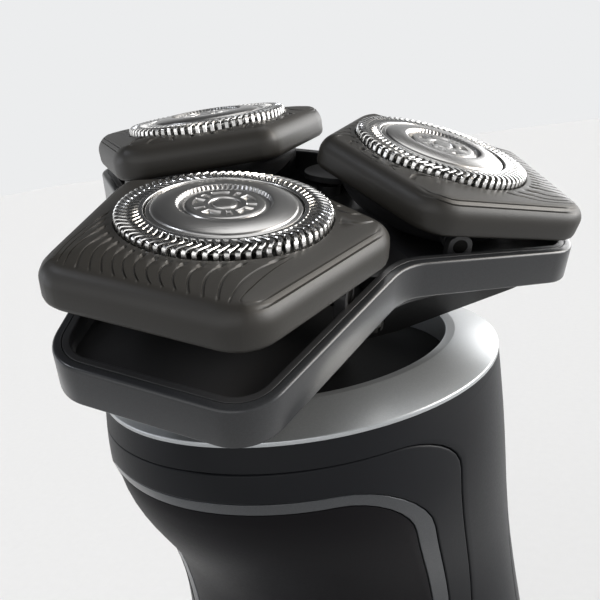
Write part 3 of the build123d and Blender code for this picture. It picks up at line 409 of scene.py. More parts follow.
# After a finish's name come its two shades, its roughness, and then the values that its maker above names
FINISHES = {
    "plate_black": moulded_plastic(
        "abs_plate_spark_eroded", ("#252320", "#2c2a26"), 0.44, 0.22, 0.012, 0.38),
    "cap_steel": worked_metal("spring_steel_cap_tumbled_bright", ("#c9c8c6", "#e6e5e3"), 0.2, 0.25, 0.004),
    "disc_steel": spun_steel("stainless_disc_spun_satin", ("#a5a4a3", "#bdbcba"), 0.3, 0.12),
    "blade_steel": worked_metal("blade_steel_ground", ("#8f8f8e", "#aaa9a7"), 0.32, 0.2, 0.006),
    "inner_black": moulded_plastic("nylon_black_moulded", ("#1c1c1c", "#232323"), 0.55, 0.3, 0.015, 0.05),
    "unit_black": moulded_plastic(
        "abs_unit_black_moulded_satin", ("#2a2a2b", "#313132"), 0.34, 0.25, 0.006, 0.5),
    "pin_steel": worked_metal("steel_pin_turned_oiled", ("#4e4d4b", "#5d5c59"), 0.32, 0.2, 0.004),
    "pin_black": worked_metal("steel_pin_black_oxide", ("#141414", "#1c1b1a"), 0.42, 0.2, 0.004),
    "gear_white": moulded_plastic("acetal_gear_moulded_natural", ("#dcd9d0", "#eae7df"), 0.4, 0.35, 0.008),
    "band_grey": metallic_lacquer("lacquer_band_grey_metallic", ("#2d2e30", "#343537"), 0.34, 0.1),
    "seal_rubber": moulded_rubber("nitrile_seal_moulded", ("#141414", "#1d1d1d"), 0.68, 0.3),
    "collar_silver": metallic_lacquer("lacquer_collar_silver_grey", ("#a9acae", "#b1b4b6"), 0.4, 0.75),
    "handle_charcoal": moulded_plastic(
        "soft_touch_charcoal_over_abs", ("#1a1b1d", "#222326"), 0.38, 0.28, 0.01, 0.1),
    "grip_rubber": moulded_rubber("tpe_grip_moulded", ("#151515", "#1e1e1f"), 0.66, 0.35),
    "trim_grey": metallic_lacquer("lacquer_trim_grey_metallic", ("#404245", "#484a4d"), 0.36, 0.2),
    "fascia_black": moulded_plastic(
        "abs_fascia_black_fine_satin", ("#171618", "#1d1c1e"), 0.42, 0.3, 0.005, 0.05),
    "lens_clear": clear_lens("polycarbonate_lens_polished", ("#aab2ba", "#c3cad0"), 0.12, 2.5),
    "button_grey": metallic_lacquer("lacquer_button_silver_grey", ("#85878a", "#8f9194"), 0.34),
    "contact_brass": worked_metal("brass_contact_gold_flashed", ("#c9a35c", "#dcb973"), 0.24, 0.2, 0.004),
    "motor_steel": worked_metal("steel_can_zinc_plated", ("#9a9c9d", "#b5b6b6"), 0.34, 0.5, 0.006),
    "cell_wrap": moulded_plastic("pvc_shrink_wrap_blue", ("#1d4a80", "#25558f"), 0.3, 0.6, 0.01),
    "board_green": moulded_plastic(
        "solder_mask_green_over_glass_fibre", ("#0d4a2a", "#125a34"), 0.32, 0.5, 0.01),
}


SLOTS = {subpart["node"]: subpart["material_slot"] for subpart in frame["record"]["subparts"]}
BODIES = {node: body for body, nodes in frame["record"]["behaviour"]["bodies"].items() for node in nodes}
PAINTED_SHADE_NODES = ("unit_base", "neck_mount")  # hidden-side mouldings of the unit's black, given the darker, duller inner finish: its lower shine is a surface property, its darker colour is painted shade


def dress_cad_nodes():
    """Gives every CAD node the finish of its slot in the record. The hidden-side mouldings instead get the
    darker inner finish, as painted shade.
    """
    for node, slot in SLOTS.items():
        mesh = frame["nodes"][node].data
        mesh.materials.clear()
        # the hidden-side mouldings take the darker inner finish here, as painted shade
        mesh.materials.append(FINISHES["inner_black" if node in PAINTED_SHADE_NODES else slot])


dress_cad_nodes()


# Small makers. A form is (points, faces) in millimetres, in its piece's own frame.

def turn(axis, angle):
    return Matrix.Rotation(radians(angle), 4, axis)


def shift(x, y, z):
    return Matrix.Translation((x, y, z))


UNIT_PLACE = shift(0, 0, GIMBAL_HEIGHT) @ turn("X", UNIT_LEAN_FRONT) @ turn("Y", UNIT_LEAN_RIGHT)
HEAD_ANGLES = [angle for angle, _ in HEADS.values()]
NOTCH_ANGLES = [angle + 180 / len(HEADS) for angle in HEAD_ANGLES]


def heading(angle):
    """Cosine and sine of an angle in degrees."""
    return cos(radians(angle)), sin(radians(angle))


# Steps over a rounded lip: how far each is drawn in and sunk, as shares of the lip's radius
LIP_STEPS = [(1 - across, 1 - up) for across, up in map(heading, LIP_ANGLES)]


def rounded_outline(corners, arc_steps, side_steps=1):
    """Points and outward normals round a closed outline. Corners are (x, y, radius), anticlockwise."""
    arcs = []
    for index, (x, y, radius) in enumerate(corners):
        corner = Vector((x, y))
        before = (Vector(corners[index - 1][:2]) - corner).normalized()
        after = (Vector(corners[(index + 1) % len(corners)][:2]) - corner).normalized()
        half = before.angle(after) / 2
        centre = corner + (before + after).normalized() * radius / sin(half)
        start = corner + before * radius / tan(half) - centre
        sense = -1 if before.cross(after) > 0 else 1
        sweep = (pi - 2 * half) * sense
        arc = []
        for step in range(arc_steps + 1):
            spoke = start.copy()
            spoke.rotate(Matrix.Rotation(sweep * step / arc_steps, 2))
            arc.append((centre + spoke, spoke.normalized() * sense))
        arcs.append(arc)
    outline = []
    for index, arc in enumerate(arcs):
        following = arcs[(index + 1) % len(arcs)]
        outline += arc
        for step in range(1, side_steps):
            share = step / side_steps
            outline.append((arc[-1][0].lerp(following[0][0], share), arc[-1][1]))
    return outline


def outline_at(outline, angle):
    """Point and normal where a ray from the middle leaves an outline."""
    ray = Vector(heading(angle))
    for index, (point, normal) in enumerate(outline):
        last_point, last_normal = outline[index - 1]
        behind, ahead = ray.cross(last_point), ray.cross(point)
        if behind <= 0 < ahead and ray.dot(point) > 0:
            share = behind / (behind - ahead)
            return last_point.lerp(point, share), last_normal.lerp(normal, share).normalized()


def ring_form(sections, closed=True):
    """Skin through closed sections that follow each other round a ring, or in an open row."""
    count = len(sections[0])
    points = [point for section in sections for point in section]
    faces = []
    for index in range(len(sections) if closed else len(sections) - 1):
        near, far = index * count, (index + 1) % len(sections) * count
        for step in range(count):
            following = (step + 1) % count
            faces.append((near + step, far + step, far + following, near + following))
    return points, faces


def strip_form(sections):
    """Closed bar through closed sections in a row, with flat ends."""
    points, faces = ring_form(sections, closed=False)
    count = len(sections[0])
    return points, faces + [tuple(range(count)), tuple(range(len(points) - count, len(points)))]


def lathe_form(profile, segments=LATHE_SEGMENTS):
    """Body of revolution about Z from a closed profile of (radius, height)."""
    angles = [2 * pi * index / segments for index in range(segments)]
    return ring_form([[(r * cos(a), r * sin(a), z) for r, z in profile] for a in angles])


def rounded_profile(corners):
    """Closed profile with rounded corners, from (radius, height, round)."""
    return [tuple(point) for point, _ in rounded_outline(corners, ARC_STEPS)]


def tube(inner, outer, foot, top, edge, segments=LATHE_SEGMENTS):
    """Tube about Z with rounded edges."""
    corners = [(inner, foot, edge), (outer, foot, edge), (outer, top, edge), (inner, top, edge)]
    return lathe_form(rounded_profile(corners), segments)


def moved(form, place):
    points, faces = form
    return [tuple(place @ Vector(point)) for point in points], faces


def plain_mesh(form):
    """Mesh of a form, whose faces may also be edges."""
    points, faces = form
    mesh = bpy.data.meshes.new("form")
    edges = [face for face in faces if len(face) == 2]
    mesh.from_pydata(points, edges, [face for face in faces if len(face) > 2])
    return mesh


def grown(form, tree, values):
    """Plain mesh of a form after a node tree, whose inputs are given by name."""
    holder = put("holder", plain_mesh(form))
    modifier = holder.modifiers.new(tree.name, "NODES")
    modifier.node_group = tree
    for socket in tree.interface.items_tree:
        if socket.name in values:
            modifier[socket.identifier] = values[socket.name]
    mesh = bpy.data.meshes.new_from_object(holder.evaluated_get(bpy.context.evaluated_depsgraph_get()))
    bpy.data.objects.remove(holder)
    return mesh


def show(node, forms, place=Matrix.Identity(4)):
    """Finished piece that stands for a CAD node, from forms or meshes in a frame at place."""
    joined = bmesh.new()
    for form in forms:
        joined.from_mesh(form if isinstance(form, bpy.types.Mesh) else plain_mesh(form))
    bmesh.ops.remove_doubles(joined, verts=joined.verts, dist=WELD)
    bmesh.ops.recalc_face_normals(joined, faces=joined.faces)
    mesh = bpy.data.meshes.new(f"{node}_finished")
    joined.to_mesh(mesh)
    joined.free()
    spin = mesh.attributes.new("spin_radius", "FLOAT", "POINT")
    spin.data.foreach_set("value", [hypot(v.co.x, v.co.y) for v in mesh.vertices])
    mesh.transform(Matrix.Scale(MM, 4) @ place)
    mesh.shade_smooth()
    mesh.set_sharp_from_angle(angle=radians(SHARP_ANGLE))
    mesh.materials.append(FINISHES[SLOTS[node]])
    piece = put(f"{node}_finished", mesh)
    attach(piece, BODIES[node])
    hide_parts(node)


# Node trees

def start_tree(name, sizes):
    """Node tree that turns a form into a dressed mesh, with named sizes. Also gives its inputs."""
    tree = bpy.data.node_groups.new(name, "GeometryNodeTree")
    for label, kind in {"Form": "Geometry", **sizes, "Finish": "Material"}.items():
        tree.interface.new_socket(label, in_out="INPUT", socket_type=f"NodeSocket{kind}")
    tree.interface.new_socket("Dressed", in_out="OUTPUT", socket_type="NodeSocketGeometry")
    return tree, add(tree, "NodeGroupInput").outputs


def end_tree(tree, geometry, finish):
    """Dresses what the tree makes, and makes copies real, because the export drops instances."""
    dressed = add(tree, "GeometryNodeSetMaterial", inputs={"Geometry": geometry, "Material": finish})
    real = add(tree, "GeometryNodeRealizeInstances", inputs={"Geometry": dressed.outputs["Geometry"]})
    add(tree, "NodeGroupOutput", inputs={"Dressed": real.outputs["Geometry"]})
    return tree


def turned_copies_tree():
    """Copies the given form round Z."""
    tree, given = start_tree("turned_copies", {"Count": "Int"})
    starts = add(tree, "GeometryNodeMeshLine", inputs={"Count": given["Count"], "Offset": (0, 0, 0)})
    step = add(tree, "ShaderNodeMath", {"operation": "DIVIDE"}, {0: 2 * pi, 1: given["Count"]})
    index = add(tree, "GeometryNodeInputIndex")
    angle = add(tree, "ShaderNodeMath", {"operation": "MULTIPLY"}, {0: index.outputs[0], 1: step.outputs[0]})
    about_z = add(tree, "ShaderNodeCombineXYZ", inputs={"Z": angle.outputs[0]})
    copies = add(tree, "GeometryNodeInstanceOnPoints", inputs={
        "Points": starts.outputs["Mesh"], "Instance": given["Form"], "Rotation": about_z.outputs[0]})
    return end_tree(tree, copies.outputs["Instances"], given["Finish"])


def rib_tree():
    """Turns the given lines into round ribs."""
    tree, given = start_tree("round_ribs", {"Rib Radius": "Float", "Rib Sides": "Int"})
    paths = add(tree, "GeometryNodeMeshToCurve", inputs={"Mesh": given["Form"]})
    section = add(tree, "GeometryNodeCurvePrimitiveCircle", inputs={
        "Resolution": given["Rib Sides"], "Radius": given["Rib Radius"]})
    ribs = add(tree, "GeometryNodeCurveToMesh", inputs={
        "Curve": paths.outputs["Curve"], "Profile Curve": section.outputs["Curve"], "Fill Caps": True})
    return end_tree(tree, ribs.outputs["Mesh"], given["Finish"])


TURNED_COPIES = turned_copies_tree()
ROUND_RIBS = rib_tree()


# Skin plates

def plate_corners():
    """Corners of the shield outline with their rounds, anticlockwise."""
    reach = LOBE_REACH - PLATE_EDGE_INSET - HEAD_OFFSET
    taper, notch = radians(SIDE_TAPER), pi / len(HEADS)
    side = SIDE_DISTANCE - PLATE_EDGE_INSET - sin(taper) * HEAD_OFFSET
    half = (side - sin(taper) * reach) / cos(taper)
    tip = PLATE_SPLIT / sin(notch) - HEAD_OFFSET
    wing_x = (side / cos(taper) + tan(notch) * tip) / (tan(notch) + tan(taper))
    wing_y = tan(notch) * (wing_x - tip)
    return [(reach, -half, PLATE_CORNER), (reach, half, PLATE_CORNER), (wing_x, wing_y, PLATE_CORNER),
            (tip, 0, PLATE_INNER_CORNER), (wing_x, -wing_y, PLATE_CORNER)]


def plate_columns():
    """Lines from the hole to the edge: angle at the hole and at the edge, and as shares the depths of the
    groove, its dot and the side grooves."""
    columns = []
    for flow, grooves, next_start in PLATE_FLOWS:
        angles, edge_angles = zip(*flow, next_start)
        start, *_, end, side_end = edge_angles
        lines = []
        for index in range(grooves):
            for across, depth, dot in GROOVE_SECTION:
                lines.append((start + (end - start) * (index + 0.5 + across) / grooves, depth, dot, 0.0))
        for index in range(SIDE_COLUMNS + 1):
            share = index / SIDE_COLUMNS
            depth = min(1.0, (0.5 - abs(share - 0.5)) * SIDE_GROOVE_FADE)
            lines.append((end + (side_end - end) * share, 0.0, 0.0, depth))
        columns += [(numpy.interp(line[0], edge_angles, angles), *line) for line in lines]
    return columns


def plate_height(spot, corners):
    """Top of the plate, which falls a little towards its edges."""
    inset = PLATE_FALL_WIDTH
    for index, (x, y, _) in enumerate(corners):
        side = Vector((x, y)) - Vector(corners[index - 1][:2])
        inset = min(inset, side.normalized().cross(spot - Vector((x, y))))
    return PLATE_TOP - PLATE_FALL * (1 - max(inset, 0) / PLATE_FALL_WIDTH) ** 2


def plate_section(corners, outline, angle, edge_angle, groove, dot, side_groove):
    """One section of a plate, from its hole over the top, the crown and the edge and back underneath."""
    spoke = Vector(heading(angle))
    edge, normal = outline_at(outline, edge_angle)
    hole = spoke * PLATE_HOLE
    lip = spoke * (PLATE_HOLE + HOLE_LIP)
    section = [(*hole, PLATE_BOTTOM), (*hole, plate_height(hole, corners) - HOLE_LIP),
               (*lip, plate_height(lip, corners))]
    start = spoke * GROOVE_START
    shoulder = edge - normal * PLATE_CROWN
    along = shoulder - start
    aside = Vector((along.y, -along.x)).normalized()
    for share, depth, dot_depth in GROOVE_ROWS:
        spot = start + along * share + aside * GROOVE_BOW * sin(pi * share)
        cut = max(groove * depth * GROOVE_DEPTH, dot * dot_depth * DOT_DEPTH)
        section.append((*spot, plate_height(spot, corners) - cut))
    for climb in CROWN_ANGLES:
        out, up = heading(climb)
        side_cut = side_groove * CROWN_SIDE_GROOVES.get(climb, 0)
        cut = max(groove * CROWN_GROOVE.get(climb, 0), side_cut) * GROOVE_DEPTH
        spot = shoulder + normal * out * (PLATE_CROWN - cut)
        fall = PLATE_TOP - plate_height(shoulder + normal * out * PLATE_CROWN, corners)
        section.append((*spot, PLATE_TOP - fall - PLATE_CROWN + up * (PLATE_CROWN - cut)))
    for away, sunk in LIP_STEPS:
        spot = edge - normal * PLATE_LOWER_ROUND * away
        section.append((*spot, PLATE_BOTTOM + PLATE_LOWER_ROUND * sunk))
    return section


def skin_plate():
    corners = plate_corners()
    outline = rounded_outline(corners, PLATE_ARC_STEPS, PLATE_SIDE_STEPS)
    return ring_form([plate_section(corners, outline, *column) for column in plate_columns()])


# Shaving caps

def cap_lamella():
    """One chevron bar of the cap, along X: it leans out, kinks back and bends down over the edge."""
    sections = []
    for radius, lean, drop, tilt in LAMELLA_STATIONS:
        outwards = Vector((*heading(lean), 0))
        along = Vector((-outwards.y, outwards.x, 0))
        flat, up = heading(tilt)
        facing = outwards * flat + Vector((0, 0, up))
        middle = outwards * radius + Vector((0, 0, CAP_TOP - drop))
        half = pi * radius / CAP_SLOTS * (1 - CAP_SLOT_SHARE)
        profile = [(-half, CAP_WALL), (-half, LAMELLA_EDGE), (LAMELLA_EDGE - half, 0),
                   (half - LAMELLA_EDGE, 0), (half, LAMELLA_EDGE), (half, CAP_WALL)]
        sections.append([tuple(middle + along * across - facing * depth) for across, depth in profile])
    return strip_form(sections)


def cap_rings():
    """Inner ring round the disc, and the skirt that holds the lamellae outside."""
    return [tube(CAP_INNER + FIT_GAP, CAP_RING_OUTER, CAP_TOP - DISC_DEPTH, CAP_TOP, CAP_EDGE),
            tube(CAP_RADIUS - CAP_WALL, CAP_RADIUS, RETAINER_TOP, CAP_TOP - CAP_SLOT_DROP, CAP_EDGE)]


# Cap discs

def disc_sector():
    """One fifth of a disc, with a long and a short window and the fine teeth round its dish."""
    columns = []
    share = 2 * pi / DISC_SECTORS
    for step in range(DISC_STEPS + 1):
        angle = share * (step / DISC_STEPS - 0.5)
        tooth = TOOTH_DEPTH * cos(TOOTH_COUNT * angle)
        column = []
        for radius, height in DISC_PROFILE:
            for middle, half, low, high in DISC_WINDOWS:
                aside = abs((angle - radians(middle) + pi) % (2 * pi) - pi)
                if low <= radius <= high and aside <= radians(half):
                    height -= WINDOW_DEPTH
            radius += tooth * TOOTH_SHARES.get(radius, 0)
            column.append((radius * cos(angle), radius * sin(angle), CAP_TOP + height))
        columns.append(column)
    return ring_form(columns, closed=False)


# Bowls under the plates

def arc_through(start, middle, end):
    """Points on the arc from start over middle to end, worked out with complex numbers."""
    first, second, last = complex(*start), complex(*middle), complex(*end)
    ratio = (last - first) / (second - first)
    centre = first + (second - first) * (ratio - abs(ratio) ** 2) / (2j * ratio.imag)
    sweep = phase((last - centre) / (first - centre))
    points = []
    for step in range(BOWL_ARC_STEPS + 1):
        point = centre + (first - centre) * rect(1, sweep * step / BOWL_ARC_STEPS)
        points.append((point.real, point.imag))
    return points


def head_bowl():
    shoulder = PLATE_BOTTOM - BOWL_WALL
    lip = CAP_RADIUS
    inside = BOWL_WALL - BOWL_DEPTH
    bend = (BOWL_FLAT_RADIUS + 2 * lip) / 3 - BOWL_WALL
    outer = arc_through((BOWL_FLAT_RADIUS, -BOWL_DEPTH),
                        ((BOWL_FLAT_RADIUS + 2 * BOWL_RADIUS) / 3, -BOWL_DEPTH * BOWL_OUTER_BULGE),
                        (BOWL_RADIUS, shoulder))
    inner = arc_through((lip - BOWL_WALL, shoulder + BOWL_WALL / 2),
                        (bend, inside + BOWL_DEPTH * BOWL_INNER_BULGE), (BOWL_FLAT_RADIUS, inside))
    rim = [(BOWL_RADIUS, PLATE_BOTTOM), (lip, PLATE_BOTTOM), (lip, PLATE_BOTTOM + BOWL_LIP),
           (lip - BOWL_WALL, PLATE_BOTTOM + BOWL_LIP)]
    floor = [(BOWL_SPINDLE_HOLE, inside), (BOWL_SPINDLE_HOLE, -BOWL_DEPTH)]
    boss_end = PIVOT_POST_INNER - MOVE_GAP
    boss_start = boss_end - PIVOT_PIN_SEAT - BOWL_WALL
    boss = tube(PIVOT_PIN_RADIUS, PIVOT_BOSS_RADIUS, boss_start, boss_end, EYE_EDGE, SMALL_SEGMENTS)
    return [lathe_form(outer + rim + inner + floor)] + [moved(boss, turn("X", side)) for side in (-90, 90)]


# Tray and band of the shaving unit

def unit_outline():
    """Points and normals round the shaving unit's outline."""
    taper = radians(SIDE_TAPER)
    half = (SIDE_DISTANCE - sin(taper) * LOBE_REACH) / cos(taper)
    corners = []
    for lobe, notch in zip(HEAD_ANGLES, NOTCH_ANGLES):
        for angle, x, y, round_size in ((lobe, LOBE_REACH, -half, LOBE_CORNER),
                                        (lobe, LOBE_REACH, half, LOBE_CORNER),
                                        (notch, SIDE_DISTANCE / cos(taper), 0, NOTCH_ROUND)):
            place = Vector((x, y))
            place.rotate(Matrix.Rotation(radians(angle), 2))
            corners.append((*place, round_size))
    return rounded_outline(corners, UNIT_ARC_STEPS, UNIT_SIDE_STEPS)


def rim_height(spot):
    """Height of the rim: three planes that slope down outwards, blended where they meet."""
    heights = []
    for angle in HEAD_ANGLES:
        outwards = spot.dot(heading(angle)) - HEAD_OFFSET
        heights.append(PIVOT_HEIGHT - RIM_DROP - outwards * tan(radians(RIM_SLOPE)))
    lowest = min(heights)
    return lowest - RIM_BLEND * log(sum(exp((lowest - height) / RIM_BLEND) for height in heights))


def rim_form(outline, profile):
    """Ring along an outline, from (inset, height above the rim) pairs."""
    sections = []
    for point, normal in outline:
        spots = [(point - normal * inset, height) for inset, height in profile]
        sections.append([(*spot, rim_height(spot) + height) for spot, height in spots])
    return ring_form(sections)


def carrier_band():
    inner = BAND_WALL - SEAM
    profile = rounded_profile([
        (0, -BAND_DEPTH, BAND_LOWER_ROUND), (inner, -BAND_DEPTH, SEAM), (inner, 0, SEAM), (0, 0, BAND_ROUND)])
    return rim_form(unit_outline(), profile)


def carrier_tray():
    outer, inner = BAND_WALL + SEAM, BAND_WALL + TRAY_WALL
    rim = rounded_profile([
        (outer, -BAND_DEPTH, SEAM), (inner, -BAND_DEPTH, SEAM), (inner, 0, TRAY_ROUND), (outer, 0, SEAM)])
    floor_edge = [(outer, TRAY_FLOOR_BOTTOM), (inner, TRAY_FLOOR_TOP + TRAY_COVE),
                  (inner + TRAY_COVE_MIDDLE, TRAY_FLOOR_TOP + TRAY_COVE_MIDDLE),
                  (inner + TRAY_COVE, TRAY_FLOOR_TOP)]
    outline = unit_outline()
    floor = []
    for point, normal in outline:
        section = [(*(point - normal * inset), height) for inset, height in floor_edge]
        floor.append(section + [(0, 0, TRAY_FLOOR_TOP), (0, 0, TRAY_FLOOR_BOTTOM)])
    return [rim_form(outline, rim), ring_form(floor)] + tray_decks() + tray_posts() + tray_bosses()


def tray_decks():
    """Webs that close the tray at the notches, a little below its rim."""
    top, foot = -DECK_DROP, -DECK_DROP - DECK_THICKNESS
    profile = [(DECK_RADIUS, foot), (0, foot), (0, top - EYE_EDGE), (EYE_EDGE, top), (DECK_RADIUS, top)]
    spokes = [Vector(heading(360 * step / SMALL_SEGMENTS)) for step in range(SMALL_SEGMENTS)]
    decks = []
    for angle in NOTCH_ANGLES:
        middle = Vector(heading(angle)) * UNIT_SCREW_CIRCLE
        decks.append(rim_form([(middle + spoke * DECK_RADIUS, spoke) for spoke in spokes], profile))
    return decks


def tray_posts():
    """Uprights with round eyes for the heads' pivot pins."""
    near, far = PIVOT_POST_INNER, PIVOT_POST_INNER + PIVOT_POST_THICKNESS
    sections = []
    for step in range(2 * EYE_STEPS):
        eye = Vector(heading(180 * (step + 0.5) / EYE_STEPS))
        outer = eye * PIVOT_BOSS_RADIUS
        if eye.y < 0:
            across = max(-1, min(1, eye.x * sqrt(2))) * PIVOT_BOSS_RADIUS
            outer = Vector((across, (TRAY_FLOOR_TOP - PIVOT_HEIGHT) * min(1, -eye.y * sqrt(2))))
        hole = eye * (PIVOT_PIN_RADIUS + RUN_GAP)
        edge = outer - eye * EYE_EDGE
        section = [(hole, near), (edge, near), (outer, near + EYE_EDGE), (outer, far - EYE_EDGE), (edge, far),
                   (hole, far)]
        sections.append([(spot.x, depth, spot.y + PIVOT_HEIGHT) for spot, depth in section])
    post = ring_form(sections)
    posts = []
    for angle in HEAD_ANGLES:
        for side in (0, 180):
            posts.append(moved(post, turn("Z", angle) @ shift(HEAD_OFFSET, 0, 0) @ turn("Z", side)))
    return posts


def tray_bosses():
    """Bosses over the three screws that hold the unit's base."""
    top = TRAY_FLOOR_TOP + UNIT_SCREW_BOSS
    boss = tube(UNIT_SCREW_RADIUS, UNIT_SCREW_HEAD_RADIUS, TRAY_FLOOR_BOTTOM, top, EYE_EDGE, SMALL_SEGMENTS)
    return [moved(boss, turn("Z", angle) @ shift(UNIT_SCREW_CIRCLE, 0, 0)) for angle in NOTCH_ANGLES]


# Collar

def collar_ring():
    seat = -COLLAR_EDGE_DROP - COLLAR_EDGE_HEIGHT
    inner = COLLAR_RIM_RADIUS + COLLAR_WALL
    return lathe_form(rounded_profile([
        (COLLAR_RIM_RADIUS, -NECK_FLOOR_DROP, SEAM), (inner, -NECK_FLOOR_DROP, SEAM), (inner, seat, SEAM),
        (COLLAR_EDGE_RADIUS, seat, SEAM), (COLLAR_EDGE_RADIUS, -COLLAR_EDGE_DROP, COLLAR_EDGE_ROUND),
        (inner, -COLLAR_RIM_DROP, COLLAR_RIM_ROUND),
        (COLLAR_RIM_RADIUS, -COLLAR_RIM_DROP, COLLAR_RIM_ROUND)]))


# Handle

def handle_curve():
    """Heights, sizes and slopes at the handle's stations, for a smooth curve that is free at its ends."""
    upper = [(COLLAR_SEAT - drop, *sizes) for drop, *sizes in UPPER_STATIONS]
    collar = (COLLAR_SEAT, COLLAR_EDGE_RADIUS, COLLAR_EDGE_RADIUS, 0.0)
    stations = numpy.array([*LOWER_STATIONS[::-1], *upper[::-1], collar])
    heights, sizes = stations[:, 0], stations[:, 1:]
    links = numpy.zeros((len(heights), len(heights)))
    rises = numpy.zeros(sizes.shape)
    for index, step in enumerate(numpy.diff(heights)):
        pair = slice(index, index + 2)
        links[pair, pair] += numpy.array([[2, 1], [1, 2]]) / step
        rises[pair] += 3 * (sizes[index + 1] - sizes[index]) / step ** 2
    return heights, sizes, numpy.linalg.solve(links, rises)


STATION_HEIGHTS, STATION_SIZES, STATION_SLOPES = handle_curve()


def handle_sizes(height):
    """Half width, half depth and shift back at a height."""
    index = max(0, min(numpy.searchsorted(STATION_HEIGHTS, height) - 1, len(STATION_HEIGHTS) - 2))
    pair = slice(index, index + 2)
    low, high = STATION_HEIGHTS[pair]
    start, end = STATION_SIZES[pair]
    leaving, arriving = STATION_SLOPES[pair]
    share = (height - low) / (high - low)
    rest = 1 - share
    return (start * rest * rest * (1 + 2 * share) + end * share * share * (1 + 2 * rest)
            + (high - low) * share * rest * (leaving * rest - arriving * share))


def handle_point(spin, height, inset):
    """Point of the handle's skin, drawn in by an inset. Spin is 0 at the front and grows to the right."""
    half_width, half_depth, back = handle_sizes(height)
    return Vector(((half_width - inset) * sin(spin), back - (half_depth - inset) * cos(spin), height))


def panel_form(first, second, tops=(0, 0), foot=WALL, lips=(SHELL_LIP, SHELL_LIP)):
    """Closed panel of the handle's skin between two loops of (spin, height), with rounded lips. Tops and
    lips are given at the first and at the second loop; foot is the inset of the panel's underside."""
    sections = []
    for (spin_a, height_a), (spin_b, height_b) in zip(first, second):
        length = (handle_point(spin_b, height_b, tops[0]) - handle_point(spin_a, height_a, tops[0])).length
        rows = [(lips[0] * away / length, lips[0] * sunk) for away, sunk in LIP_STEPS]
        rows += [(step / PANEL_ROWS, 0.0) for step in range(1, PANEL_ROWS)]
        rows += [(1 - lips[1] * away / length, lips[1] * sunk) for away, sunk in reversed(LIP_STEPS)]
        rows = [(share, tops[0] + (tops[1] - tops[0]) * share + sunk) for share, sunk in rows]
        rows.insert(0, (0.0, foot))
        rows += [(step / PANEL_BACK_ROWS, foot) for step in range(PANEL_BACK_ROWS, 0, -1)]
        section = []
        for share, inset in rows:
            spin = spin_a + (spin_b - spin_a) * share
            section.append(tuple(handle_point(spin, height_a + (height_b - height_a) * share, inset)))
        sections.append(section)
    return ring_form(sections)


def window_loop(window, grow=0.0):
    """Round-cornered window as (spin, height), grown by a margin."""
    top, foot, top_half, foot_half, corner = window
    corners = [(-foot_half - grow, foot - grow), (foot_half + grow, foot - grow),
               (top_half + grow, top + grow), (-top_half - grow, top + grow)]
    outline = rounded_outline([(x, z, corner + grow) for x, z in corners], PANEL_ARC_STEPS, PANEL_SIDE_STEPS)
    return [(asin(point.x / handle_sizes(point.y)[0]), point.y) for point, _ in outline]


def split_spin(height, gap=0.0):
    """Spin of the joint plane between the front and the rear shell, with a gap before it."""
    _, half_depth, back = handle_sizes(height)
    return acos((back - SPLIT_Y) / half_depth) - gap / half_depth


def shell_loop(top, rear):
    """Edge of a shell: its base and top joints, and the joint plane at the sides."""
    half = (top - BASE_HEIGHT) / 2
    corners = [(x * half, z * half, SHELL_CORNER) for x, z in SQUARE]
    outline = rounded_outline(corners, PANEL_ARC_STEPS, PANEL_SIDE_STEPS)
    loop = []
    for point, _ in outline:
        height = BASE_HEIGHT + half + point.y * (1 - SEAM / half)
        split = pi - split_spin(height, -SEAM) if rear else split_spin(height, SEAM)
        loop.append((point.x / half * split, height))
    return loop


def neck_back():
    """Back of the neck, over the rear shell. It starts just under the edge of the front."""
    sections = []
    rows = [(PARTING_HEIGHT + SEAM, WALL), (PARTING_HEIGHT + SEAM, TUCK), (COLLAR_SEAT - SEAM, TUCK),
            (COLLAR_SEAT - SEAM, WALL)]
    for step in range(NECK_STEPS + 1):
        section = []
        for height, inset in rows:
            start = split_spin(height, 2 * SEAM)
            section.append(tuple(handle_point(start + 2 * (pi - start) * step / NECK_STEPS, height, inset)))
        sections.append(section)
    return strip_form(sections)


def turned_round(loop):
    """A front loop moved to the back, seen from behind."""
    return [(spin + pi, height) for spin, height in loop]


def grip_lines():
    """Lines along the grip's ribs, a little inside its skin."""
    top, foot, half_width, _, corner = GRIP_WINDOW
    points, edges = [], []
    count = int((top - foot - 2 * RIB_MARGIN) / RIB_PITCH)
    for index in range(count + 1):
        height = foot + RIB_MARGIN + RIB_PITCH * index
        near_end = max(0.0, corner - min(height - foot, top - height))
        half = half_width - corner + sqrt(corner ** 2 - near_end ** 2) - RIB_MARGIN
        for step in range(RIB_STEPS + 1):
            across = half * (2 * step / RIB_STEPS - 1)
            if step:
                edges.append((len(points) - 1, len(points)))
            points.append(tuple(handle_point(pi - asin(across / handle_sizes(height)[0]), height, RIB_SINK)))
    return points, edges


def power_button(stem):
    """Dished round button with a fine ring groove, its flange and its stem, facing up Z."""
    steps = [step / ARC_STEPS for step in range(ARC_STEPS + 1)]
    profile = [(BUTTON_DISH_EDGE * share, -BUTTON_PROUD * (1 - share * share)) for share in steps]
    groove, depth = BUTTON_GROOVE
    profile += [(groove - depth, 0), (groove, -depth), (groove + depth, 0)]
    for away, sunk in reversed(LIP_STEPS):
        profile.append((BUTTON_RADIUS - BUTTON_EDGE * away, -BUTTON_EDGE * sunk))
    flange_top = -BUTTON_DEPTH - BUTTON_FLANGE_SETBACK
    flange_foot = flange_top - BUTTON_FLANGE
    flange_radius = BUTTON_RADIUS + BUTTON_FLANGE
    profile += [(BUTTON_RADIUS, -BUTTON_DEPTH), (BUTTON_STEM_RADIUS, -BUTTON_DEPTH),
                (BUTTON_STEM_RADIUS, flange_top), (flange_radius, flange_top), (flange_radius, flange_foot),
                (BUTTON_STEM_RADIUS, flange_foot), (BUTTON_STEM_RADIUS, -stem), (0, -stem)]
    return lathe_form(profile)


